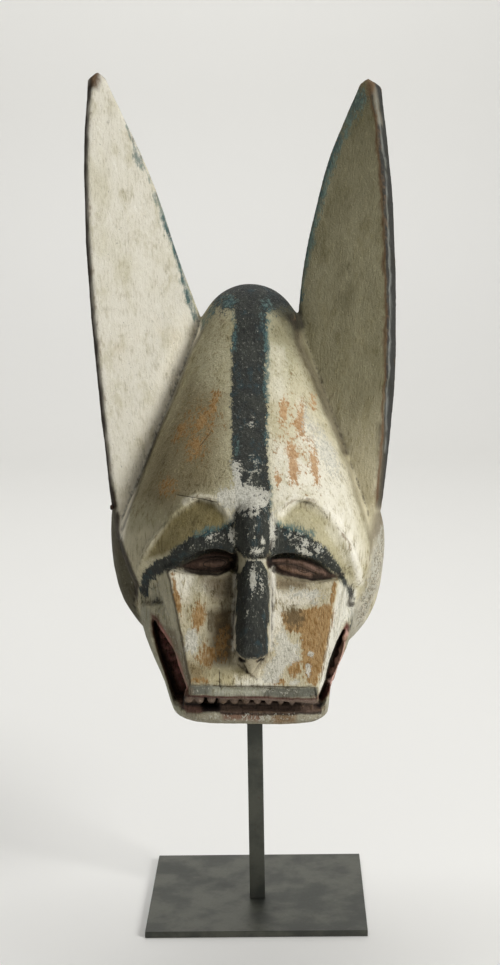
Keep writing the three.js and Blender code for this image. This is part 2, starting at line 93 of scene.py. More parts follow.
@dataclass(frozen=True)
class PhotoView:
    """The camera that took the photograph, as worked out from the stand's square plate."""

    place: tuple[float, float, float] = (0.0289, -1.4791, 0.5661)
    lens: float = 71.62
    sensor: float = 36.0
    pitch: float = 0.1530
    yaw: float = -0.0202
    roll: float = -0.0161

    def axes(self) -> tuple[Vector, Vector, Vector]:
        """The camera's right, up and forward directions.

        Returns:
            Three unit vectors.
        """
        ahead = Vector((math.sin(self.yaw) * math.cos(self.pitch),
                        math.cos(self.yaw) * math.cos(self.pitch), -math.sin(self.pitch)))
        across = Vector((math.cos(self.yaw), -math.sin(self.yaw), 0.0))
        up = across.cross(ahead)
        right = math.cos(self.roll) * across + math.sin(self.roll) * up
        return right, math.cos(self.roll) * up - math.sin(self.roll) * across, ahead

    def project(self, points: np.ndarray) -> np.ndarray:
        """Where points in metres fall on the photograph.

        Args:
            points: An array of rows x, y, z.

        Returns:
            An array of rows of pixel coordinates, from the top left corner.
        """
        right, up, ahead = (np.array(axis) for axis in self.axes())
        away = points - np.array(self.place)
        depth = away @ ahead
        focal = self.lens / self.sensor * PHOTO_HEIGHT
        return np.stack((PHOTO_WIDTH / 2 + focal * (away @ right) / depth,
                         PHOTO_HEIGHT / 2 - focal * (away @ up) / depth), axis=1)

    def ray(self, pixel: Pixel) -> Vector:
        """The direction from the camera through a pixel of the photograph.

        Args:
            pixel: The pixel's coordinates, from the top left corner.

        Returns:
            A unit vector.
        """
        right, up, ahead = self.axes()
        focal = self.lens / self.sensor * PHOTO_HEIGHT
        across, rise = (pixel[0] - PHOTO_WIDTH / 2) / focal, (PHOTO_HEIGHT / 2 - pixel[1]) / focal
        return (ahead + across * right + rise * up).normalized()

    def build(self) -> bpy.types.Object:
        """Makes the camera and gives the scene its view.

        Returns:
            The camera object.
        """
        data = bpy.data.cameras.new("photo_view")
        data.lens = self.lens
        data.sensor_width = self.sensor
        camera = bpy.data.objects.new("photo_view", data)
        right, up, ahead = self.axes()
        turn = Matrix((right, up, -ahead)).transposed().to_4x4()
        camera.matrix_world = Matrix.Translation(self.place) @ turn
        bpy.context.scene.collection.objects.link(camera)
        bpy.context.scene.camera = camera
        return camera


@dataclass(frozen=True)
class MaskSeat:
    """How the mask sits on its post: its own upright frame, in millimetres, against the room's."""

    place: tuple[float, float, float] = (-7.0, -11.6, 175.2)
    turn: float = math.radians(2.5)
    roll: float = math.radians(1.8)

    def own(self, points: np.ndarray) -> np.ndarray:
        """Points in metres, in the mask's own frame in millimetres."""
        turned = Matrix.Rotation(self.turn, 3, "Z") @ Matrix.Rotation(self.roll, 3, "Y")
        return (points / MM - np.array(self.place)) @ np.array(turned)

    def room(self, point: Vector) -> Vector:
        """A point of the mask's own frame, in metres in the room."""
        turned = Matrix.Rotation(self.turn, 3, "Z") @ Matrix.Rotation(self.roll, 3, "Y")
        return (turned @ point + Vector(self.place)) * MM


class Grain:
    """Seeded noise in space, for tool marks, wear and ragged edges."""

    TABLE = 4096
    TILT = np.array(Matrix.Rotation(0.9, 3, "X") @ Matrix.Rotation(0.6, 3, "Z"))

    def __init__(self, seed: int) -> None:
        """Draws the table of values."""
        self.values = np.random.default_rng(seed).uniform(-1.0, 1.0, self.TABLE)

    def at(self, points: np.ndarray, size: Union[float, Sequence[float]]) -> np.ndarray:
        """The noise at each point.

        Args:
            points: Rows x, y, z.
            size: The width of one bump, one number or one for each axis.

        Returns:
            Values from -1 to 1.
        """
        spots = (points / np.asarray(size, dtype=float)) @ self.TILT
        cell = np.floor(spots).astype(np.int64)
        share = spots - cell
        share = share * share * (3.0 - 2.0 * share)
        total = np.zeros(len(points))
        for corner in range(8):
            step = np.array([(corner >> axis) & 1 for axis in range(3)])
            spot = cell + step
            key = (spot[:, 0] * 73856093) ^ (spot[:, 1] * 19349663) ^ (spot[:, 2] * 83492791)
            weight = np.prod(np.where(step == 1, share, 1.0 - share), axis=1)
            total += weight * self.values[key & (self.TABLE - 1)]
        return total

    def layered(self, points: np.ndarray, size: float, octaves: int = 3) -> np.ndarray:
        """Several sizes of the noise added up, each half as wide and half as strong."""
        return sum(self.at(points + 31.7 * step, size / 2 ** step) / 2 ** step
                   for step in range(octaves)) / 1.5


class Wire:
    """A socket of a material, on which sums are written as plain expressions."""

    def __init__(self, paintbox: "Paintbox", socket: bpy.types.NodeSocket) -> None:
        """Keeps the socket and the material that it is in."""
        self.paintbox = paintbox
        self.socket = socket

    def _sum(self, operation: str, *values: "Value") -> "Wire":
        """One Math node."""
        return self.paintbox.node("ShaderNodeMath", {"operation": operation}, dict(enumerate(values)))

    def __add__(self, other: "Value") -> "Wire":
        """This value and another."""
        return self._sum("ADD", self, other)

    def __radd__(self, other: "Value") -> "Wire":
        """Another value and this."""
        return self._sum("ADD", other, self)

    def __sub__(self, other: "Value") -> "Wire":
        """This value less another."""
        return self._sum("SUBTRACT", self, other)

    def __rsub__(self, other: "Value") -> "Wire":
        """Another value less this."""
        return self._sum("SUBTRACT", other, self)

    def __mul__(self, other: "Value") -> "Wire":
        """This value times another."""
        return self._sum("MULTIPLY", self, other)

    def __rmul__(self, other: "Value") -> "Wire":
        """Another value times this."""
        return self._sum("MULTIPLY", other, self)

    def __abs__(self) -> "Wire":
        """This value without its sign."""
        return self._sum("ABSOLUTE", self)

    def spread(self) -> "Wire":
        """Noise between 0 and 1 opened out to about -1 to 1 round its middle."""
        return (self - 0.5) * 5.0

    def rise(self, low: float, high: float) -> "Wire":
        """0 below low, 1 above high and smooth between, also with low above high.

        Args:
            low: Where it is 0.
            high: Where it is 1.

        Returns:
            The eased value.
        """
        if low > high:
            return 1.0 - self.rise(high, low)
        return self.paintbox.node("ShaderNodeMapRange", {"interpolation_type": "SMOOTHSTEP"},
                                  {"Value": self, "From Min": low, "From Max": high})


Value = Union[Wire, float, int]
Shade = Union[Wire, Colour]


class Paintbox:
    """A material's nodes, added one by one."""

    def __init__(self, name: str) -> None:
        """Starts a material with nothing but its output.

        Args:
            name: The material's name.
        """
        self.material = bpy.data.materials.new(name)
        self.material.use_nodes = True
        self.tree = self.material.node_tree
        self.tree.nodes.clear()
        self.place = self.node("ShaderNodeTexCoord", {}, {}, "Object")

    def node(self, kind: str, settings: dict, sockets: dict, output: Union[int, str] = 0) -> Wire:
        """Adds a node.

        Args:
            kind: The node's type.
            settings: Its properties.
            sockets: Values or wires by the socket's name, identifier or number.
            output: The output to go on with.

        Returns:
            That output.
        """
        made = self.tree.nodes.new(kind)
        for key, value in settings.items():
            setattr(made, key, value)
        for key, value in sockets.items():
            socket = self._find(made.inputs, key)
            if isinstance(value, Wire):
                self.tree.links.new(value.socket, socket)
            elif isinstance(value, tuple) and socket.type == "RGBA":
                socket.default_value = (*value[:3], 1.0)
            else:
                socket.default_value = value
        if not len(made.outputs):
            return Wire(self, made.inputs[0])
        return Wire(self, self._find(made.outputs, output))

    @staticmethod
    def _find(sockets: Iterable[bpy.types.NodeSocket], key: Union[int, str]) -> bpy.types.NodeSocket:
        """A node's socket.

        Args:
            sockets: The node's inputs or outputs.
            key: The socket's number, identifier or name.

        Returns:
            The socket.
        """
        if isinstance(key, int):
            return sockets[key]
        for socket in sockets:
            if socket.identifier == key:
                return socket
        return next(socket for socket in sockets if socket.name == key and socket.enabled)

    def mix(self, share: Value, base: Shade, over: Shade, blend: str = "MIX") -> Wire:
        """Lays one colour over another."""
        return self.node("ShaderNodeMix", {"data_type": "RGBA", "blend_type": blend},
                         {"Factor_Float": share, "A_Color": base, "B_Color": over}, "Result_Color")

    def noise(self, size: Sequence[float], detail: float = 3.0, roughness: float = 0.55,
              shift: float = 0.0) -> Wire:
        """Noise whose bumps have a size in millimetres along each axis.

        Args:
            size: The width of a bump along x, y and z.
            detail: How many finer layers.
            roughness: How strong the finer layers are.
            shift: Moves the pattern, so that two of them differ.

        Returns:
            Values from 0 to 1, mostly near the middle.
        """
        scale = [1.0 / (MM * width) for width in size]
        at = self.node("ShaderNodeMapping", {}, {"Vector": self.place, "Scale": scale,
                                                 "Location": (shift, shift * 0.7, shift * 1.3)})
        return self.node("ShaderNodeTexNoise", {"noise_dimensions": "3D"},
                         {"Vector": at, "Scale": 1.0, "Detail": detail, "Roughness": roughness}, "Fac")

    def attribute(self, name: str, output: str = "Fac") -> Wire:
        """A value or colour that the mesh carries."""
        return self.node("ShaderNodeAttribute", {"attribute_name": name}, {}, output)

    def finish(self, colour: Shade, roughness: Value, metallic: float = 0.0, bump: Union[Wire, None] = None,
               bump_depth: float = 0.3, specular: float = 0.5) -> bpy.types.Material:
        """Joins the colour, gloss and relief into the shader.

        Args:
            colour: The base colour.
            roughness: The roughness.
            metallic: 0 for paint and wood, 1 for metal.
            bump: Heights from 0 to 1, if the surface has fine relief.
            bump_depth: The depth in millimetres of a height of 1.
            specular: The strength of the gloss.

        Returns:
            The finished material.
        """
        sockets: dict = {"Base Color": colour, "Roughness": roughness, "Metallic": metallic,
                         "Specular IOR Level": specular}
        if bump is not None:
            sockets["Normal"] = self.node("ShaderNodeBump", {}, {
                "Strength": 1.0, "Distance": bump_depth * MM, "Height": bump})
        shader = self.node("ShaderNodeBsdfPrincipled", {}, sockets, "BSDF")
        self.node("ShaderNodeOutputMaterial", {}, {"Surface": shader})
        return self.material


@dataclass(frozen=True)
class Spot:
    """A rounded patch of paint or wear, placed on the photograph."""

    name: str
    x: float
    y: float
    half_width: float
    half_height: float
    tilt: float = 0.0
    strength: float = 1.0

    def cover(self, pixels: np.ndarray) -> np.ndarray:
        """How much of the patch covers each point: 1 in its middle, a half at its edge."""
        return self.strength * fading(oval_distance(pixels, self))


@dataclass(frozen=True)
class Field:
    """A painted area with a drawn outline, placed on the photograph."""

    name: str
    corners: tuple[Pixel, ...]
    soft: float = 6.0
    strength: float = 1.0

    def cover(self, pixels: np.ndarray) -> np.ndarray:
        """How much of the area covers each point: a half on its outline."""
        return self.strength * area_share(pixels, self)


@dataclass(frozen=True)
class Stroke:
    """Paint along a drawn line, placed on the photograph."""

    name: str
    line: tuple[Pixel, ...]
    half_width: float
    strength: float = 1.0

    def cover(self, pixels: np.ndarray) -> np.ndarray:
        """How much of the stroke covers each point: 1 on its line, a half at its edge."""
        _, plain = line_depth(pixels, self.line)
        return self.strength * fading(plain / self.half_width)


def to_segment(pixels: np.ndarray, start: Pixel, end: Pixel) -> tuple[np.ndarray, np.ndarray]:
    """The way from a straight line's nearest place to each point.

    Args:
        pixels: Pixel coordinates of the points.
        start: Where the line starts.
        end: Where it ends.

    Returns:
        Those ways as rows, and the line's own direction at its full length.
    """
    first = np.array(start, dtype=float)
    along = np.array(end, dtype=float) - first
    share = np.clip(((pixels - first) @ along) / (along @ along), 0.0, 1.0)
    return pixels - first - share[:, None] * along, along


def outline_depth(pixels: np.ndarray, corners: Sequence[Pixel]) -> np.ndarray:
    """How far inside a closed outline each point is.

    Args:
        pixels: Pixel coordinates of the points.
        corners: The outline's corners in order.

    Returns:
        Distances in pixels, below 0 outside.
    """
    across, down = pixels.T
    nearest = np.full(len(pixels), np.inf)
    inside = np.zeros(len(pixels), dtype=bool)
    for start, end in zip(corners, (*corners[1:], corners[0])):
        gap, along = to_segment(pixels, start, end)
        nearest = np.minimum(nearest, np.hypot(*gap.T))
        rise = along[1] if along[1] else LEVEL_RISE
        crosses = (start[1] > down) != (end[1] > down)
        inside ^= crosses & (across < start[0] + (down - start[1]) * along[0] / rise)
    return np.where(inside, nearest, -nearest)


def line_depth(pixels: np.ndarray, points: Sequence[Pixel]) -> tuple[np.ndarray, np.ndarray]:
    """The signed and plain distance of each point to an open line.

    Args:
        pixels: Pixel coordinates of the points.
        points: The line's points in order.

    Returns:
        The distance with the side as its sign, and the distance.
    """
    best = np.full(len(pixels), np.inf)
    signed = np.full(len(pixels), np.inf)
    for start, end in zip(points, points[1:]):
        gap, along = to_segment(pixels, start, end)
        distance = np.hypot(*gap.T)
        side = np.where(along[0] * gap[:, 1] < along[1] * gap[:, 0], -1.0, 1.0)
        signed = np.where(distance < best, distance * side, signed)
        best = np.minimum(best, distance)
    return signed, best


def area_share(pixels: np.ndarray, area: Union["Field", "Wash"]) -> np.ndarray:
    """How much of a drawn area covers each point: 1 inside, a half on its outline and 0 outside."""
    return np.clip(0.5 + outline_depth(pixels, area.corners) / area.soft, 0.0, 1.0)


def oval_distance(pixels: np.ndarray, oval: Union["Spot", "Dent"]) -> np.ndarray:
    """How far out in a tilted oval each point lies.

    Args:
        pixels: Pixel coordinates of the points.
        oval: The patch or dent that has the oval's place, half sizes and tilt.

    Returns:
        0 in its middle, 1 on its rim and more outside.
    """
    angle = math.radians(oval.tilt)
    right, down = pixels[:, 0] - oval.x, pixels[:, 1] - oval.y
    along = (right * math.cos(angle) + down * math.sin(angle)) / oval.half_width
    beside = (down * math.cos(angle) - right * math.sin(angle)) / oval.half_height
    return np.hypot(along, beside)


def lay(under: np.ndarray, over: Colour, share: np.ndarray) -> np.ndarray:
    """Lays one tone over the colours of all the points, by each point's share."""
    return under + np.clip(share, 0.0, 1.0)[:, None] * (np.array(over) - under)


def fading(distance: np.ndarray) -> np.ndarray:
    """Paint that is full up to a third of the way out, a half at 1 and gone at five thirds."""
    return np.clip(1.25 - 0.75 * distance, 0.0, 1.0)


class Skin:
    """A mesh as arrays, for moves that a carver's tools would make."""

    def __init__(self, mesh: bpy.types.Mesh) -> None:
        """Reads the mesh.

        Args:
            mesh: The mesh to work on, which stays the same until give_back.
        """
        self.mesh = mesh
        self.count = len(mesh.vertices)
        flat = np.empty(self.count * 3)
        mesh.vertices.foreach_get("co", flat)
        self.points = flat.reshape(-1, 3) / MM
        edges = np.empty(len(mesh.edges) * 2, dtype=np.int64)
        mesh.edges.foreach_get("vertices", edges)
        self.edges = edges.reshape(-1, 2)
        self.degree = np.maximum(np.bincount(self.edges.ravel(), minlength=self.count), 1)

    def around(self, values: np.ndarray) -> np.ndarray:
        """The mean of a value over each vertex's neighbours.

        Args:
            values: One number or one row a vertex.

        Returns:
            The means, in the same shape.
        """
        if values.ndim == 2:
            return np.stack([self.around(column) for column in values.T], axis=1)
        a, b = self.edges[:, 0], self.edges[:, 1]
        total = (np.bincount(a, values[b], self.count) + np.bincount(b, values[a], self.count))
        return total / self.degree

    def smooth(self, values: np.ndarray, rounds: int, pull: Union[float, np.ndarray] = 0.5) -> np.ndarray:
        """Evens a value out over the surface.

        Args:
            values: One number or one row a vertex.
            rounds: How many times.
            pull: How far each goes to its neighbours' mean, one number or one a vertex.

        Returns:
            The evened values.
        """
        weight = pull[:, None] if isinstance(pull, np.ndarray) and values.ndim == 2 else pull
        for _ in range(rounds):
            values = values + weight * (self.around(values) - values)
        return values

    def tree(self, points: np.ndarray) -> BVHTree:
        """The surface over the given points, to be asked what a line hits."""
        return BVHTree.FromPolygons([tuple(point) for point in points],
                                    [tuple(polygon.vertices) for polygon in self.mesh.polygons])

    def give_back(self) -> None:
        """Writes the moved points to the mesh."""
        self.mesh.vertices.foreach_set("co", (self.points * MM).ravel())
        self.mesh.update()

    def normals(self) -> np.ndarray:
        """The direction that each vertex faces.

        Returns:
            Unit vectors as rows.
        """
        self.give_back()
        flat = np.empty(self.count * 3)
        self.mesh.vertex_normals.foreach_get("vector", flat)
        return flat.reshape(-1, 3)


def with_modifier(source: bpy.types.Object, kind: str, **settings: object) -> bpy.types.Mesh:
    """The mesh that a modifier makes of an object.

    Args:
        source: The object, which keeps its own mesh.
        kind: The modifier's type.
        settings: Its properties.

    Returns:
        A new mesh.
    """
    modifier = source.modifiers.new("shaping", kind)
    for key, value in settings.items():
        setattr(modifier, key, value)
    shaped = source.evaluated_get(bpy.context.evaluated_depsgraph_get())
    mesh = bpy.data.meshes.new_from_object(shaped)
    source.modifiers.remove(modifier)
    return mesh


def new_object(name: str, mesh: bpy.types.Mesh) -> bpy.types.Object:
    """Links a mesh to the scene as an object at the origin.

    Args:
        name: The object's name.
        mesh: Its mesh, with its place in it.

    Returns:
        The object.
    """
    made = bpy.data.objects.new(name, mesh)
    bpy.context.scene.collection.objects.link(made)
    return made


EAR_LEFT_EDGE: tuple[Pixel, ...] = (
    (103, 60), (112, 91), (124, 115), (138, 147), (149, 174), (164, 209), (178, 249), (191, 299),
    (203, 328), (189.5, 356), (173, 399.5), (156, 438), (145, 466), (130, 509), (120, 560))
EAR_RIGHT_EDGE: tuple[Pixel, ...] = (
    (364, 60), (345, 117), (328, 163), (314, 215), (303, 260), (296, 307), (300.5, 346), (314, 374),
    (330, 415), (344, 452), (358, 498), (368, 532), (374, 560))
CORNER_RIGHT: tuple[Pixel, ...] = (
    (368, 60), (368, 86), (376, 120), (383, 206), (386, 284), (386, 350), (382, 450), (376, 520),
    (372, 560))


def beside_line(pixels: np.ndarray, line: Sequence[Pixel]) -> np.ndarray:
    """How far to the right of a line that runs down the photograph each point is."""
    across, down = zip(*line)
    return pixels[:, 0] - np.interp(pixels[:, 1], down, across)


PLATE_TOP_LEFT: Pixel = (168, 569)
PLATE_TOP_RIGHT: Pixel = (339.5, 580)
PLATE_LOW_RIGHT: Pixel = (317.5, 686.5)
PLATE_LOW_LEFT: Pixel = (191.5, 685)
EYE_LEFT: tuple[Pixel, ...] = (
    (175, 567.5), (186, 559), (199, 553), (216.6, 549), (233, 548.5), (238.5, 553), (238, 561),
    (231, 568.5), (216.6, 573.5), (197, 572.5), (184, 569))
EYE_RIGHT: tuple[Pixel, ...] = (
    (265.5, 560.5), (272, 554), (288.4, 553), (309, 557), (324.3, 565), (339, 578), (324, 579.3),
    (309, 579.3), (283.3, 576.2), (268, 568))
ARCH_LEFT: tuple[Pixel, ...] = (
    (233, 545), (230, 524), (224, 512), (212, 501), (198, 500), (180, 510), (164, 524), (152, 541),
    (144, 558), (139, 578))
ARCH_RIGHT: tuple[Pixel, ...] = (
    (275, 532), (281, 515), (289, 505), (299, 500.5), (311, 502), (323, 509), (336, 523), (346, 541),
    (353, 560), (358, 580), (361, 600))
SLOT_LEFT: tuple[Pixel, ...] = (
    (150, 613), (157, 616), (168, 636), (179, 662), (188, 688), (190, 700), (188, 709), (180, 706),
    (172, 692), (160, 658), (152, 632))
SLOT_RIGHT: tuple[Pixel, ...] = (
    (347, 622), (350, 627), (345, 645), (336, 674), (330, 694), (321, 703), (318, 697), (322, 690),
    (331, 662), (340, 634))
MOUTH_GAP: tuple[Pixel, ...] = (
    (183, 695), (317, 699), (323, 704), (322, 713), (260, 714), (200, 713), (181, 709))

CRACK_LID: tuple[Pixel, ...] = ((178, 495), (190, 497), (203, 499), (216, 502))
CRACK_MUZZLE: tuple[Pixel, ...] = ((219.6, 672), (219.2, 680), (220.4, 687))
LIP_BAND_FOOT: tuple[Pixel, ...] = ((190, 685.5), (255, 686), (317, 687.5))


@dataclass(frozen=True)
class Wash:
    """A broad tone of the ground, with a drawn outline placed on the photograph.

    A wash inside a slot or the mouth covers only what the photograph's camera sees.
    """

    name: str
    corners: tuple[Pixel, ...]
    tone: Colour
    soft: float = 6.0
    strength: float = 1.0
    seen_only: bool = False

    def share(self, pixels: np.ndarray, front: np.ndarray) -> np.ndarray:
        """How much of the wash covers each point."""
        seen = step_between(front, 0.85, 1.0) if self.seen_only else 1.0
        return self.strength * area_share(pixels, self) * seen


@dataclass(frozen=True)
class EarLayer:
    """A tone that takes over on an ear as a guide value runs from one number to another."""

    tone: Colour
    guide: str
    start: float
    full: float
    strength: float = 1.0


@dataclass(frozen=True)
class Rub:
    """A tone along a drawn line, such as a rubbed edge or the painted shade in a crevice."""

    name: str
    line: tuple[Pixel, ...]
    tone: Colour
    half_width: float
    strength: float = 1.0

    def share(self, pixels: np.ndarray) -> np.ndarray:
        """How much of the rub covers each point."""
        _, gap = line_depth(pixels, self.line)
        return self.strength * step_between(gap, self.half_width, 0.25 * self.half_width)


@dataclass(frozen=True)
class Ledge:
    """A carved step: cut back on one side of a line, with a raised lip on the other."""

    name: str
    line: tuple[Pixel, ...]
    side: int
    cut: float
    run: float
    lip: float
    foot: tuple[float, float] = (-1.0, 7.0)
    lip_place: float = -2.5
    lip_width: float = 3.2
    end_run: float = 12.0

    def height(self, pixels: np.ndarray) -> np.ndarray:
        """How far the surface is raised, in millimetres.

        Args:
            pixels: Pixel coordinates of the points.

        Returns:
            Heights, below 0 where it is cut back.
        """
        signed, _ = line_depth(pixels, self.line)
        inwards = signed * self.side
        ends = np.minimum(*(np.hypot(*(pixels - np.array(end)).T)
                            for end in (self.line[0], self.line[-1])))
        cut = step_between(inwards, *self.foot) * step_between(inwards, self.run, 8.0)
        lip = np.exp(-((inwards - self.lip_place) / self.lip_width) ** 2)
        return (self.lip * lip - self.cut * cut) * step_between(ends, 0.0, self.end_run)


@dataclass(frozen=True)
class Dent:
    """A rounded hollow, or a swelling where its depth is below 0."""

    name: str
    x: float
    y: float
    half_width: float
    half_height: float
    tilt: float
    depth: float

    def height(self, pixels: np.ndarray) -> np.ndarray:
        """How far the surface is raised, in millimetres."""
        return -self.depth * step_between(oval_distance(pixels, self), 1.25, 0.35)


@dataclass(frozen=True)
class Groove:
    """A narrow cut along a line, or a ridge where its depth is below 0."""

    name: str
    line: tuple[Pixel, ...]
    half_width: float
    depth: float

    def height(self, pixels: np.ndarray) -> np.ndarray:
        """How far the surface is raised, in millimetres."""
        _, plain = line_depth(pixels, self.line)
        return -self.depth * np.exp(-(plain / self.half_width) ** 2)


RELIEF: tuple[Union[Ledge, Dent, Groove], ...] = (
    Ledge("left lid's arch", ARCH_LEFT, -1, 1.3, 26.0, 0.7),
    Ledge("right lid's arch", ARCH_RIGHT, 1, 1.8, 26.0, 0.9),
    Dent("left nostril", 242.5, 659.5, 3.9, 2.4, 25, 2.6),
    Dent("right nostril", 260, 659.5, 3.3, 2.0, -20, 2.6),
    Dent("chip in the lower lip's left corner", 186, 720, 8, 4, 20, 1.6),
    Dent("chip under the lower lip", 284, 721, 12, 4, 0, 1.5),
    Dent("worn middle of the lower lip", 232, 712, 14, 3, 0, 1.0),
    Dent("split at the lip's right end", 316, 694, 2.2, 2.2, 0, 1.6),
    Dent("brow roll left", 205, 541, 26, 9, -18, -1.0),
    Dent("brow roll right", 303, 544, 28, 9, 20, -1.0),
    Groove("left eye's upper ring", ((182, 566), (198, 559), (216, 556), (232, 557)), 1.1, 0.8),
    Groove("left eye's lower ring", ((184, 568), (200, 570), (216, 569), (232, 563)), 1.1, 0.7),
    Groove("left eye's inner ring", (
        (199, 565), (206, 560), (217, 559), (226, 561), (220, 566), (209, 568), (199, 565)), 1.0, 0.6),
    Groove("right eye's upper ring", ((271, 563), (288, 561.5), (305, 565), (320, 571)), 1.1, 0.9),
    Groove("right eye's lower ring", ((273, 566), (288, 573), (305, 577), (322, 576)), 1.1, 0.7),
    Groove("right eye's ridge", ((282, 562), (298, 563.5), (314, 568.5)), 1.4, -0.7),
    Groove("line under the upper lip band", LIP_BAND_FOOT, 1.0, 0.7),
    Groove("crack in the muzzle", CRACK_MUZZLE, 0.9, 0.5),
    Groove("crack over the left lid", CRACK_LID, 0.9, 0.5),
)

CREAM = linear(206, 198, 168)
EAR_LEFT_TONE = linear(223, 218, 202)
EAR_RIGHT_TONE = linear(152, 146, 117)
EAR_CORNER_TONE = linear(56, 56, 53)
# Painted light: a paler tone for the left ear beside the dome.
EAR_LEFT_PAINTED_LIGHT = linear(250, 243, 222)
BARE_BACK = linear(78, 66, 56)
BARE_HOLLOW = linear(84, 62, 42)
EAR_LEFT_LAYERS: tuple[EarLayer, ...] = (
    EarLayer(linear(207, 201, 177), "cloud", 0.0, 0.6, 0.7),
    EarLayer(linear(210, 194, 160), "cloud", -0.25, -0.7, 0.35),
)
EAR_RIGHT_LAYERS: tuple[EarLayer, ...] = (
    EarLayer(linear(126, 120, 92), "cloud", 0.0, 0.5, 0.7),
    EarLayer(linear(170, 160, 126), "cloud", -0.2, -0.6, 0.4),
    # Darker towards the top of the right ear, paler towards its foot.
    EarLayer(linear(112, 107, 80), "down", 260.0, 90.0, 0.8),
    EarLayer(linear(212, 203, 172), "down", 370.0, 480.0, 0.85),
)
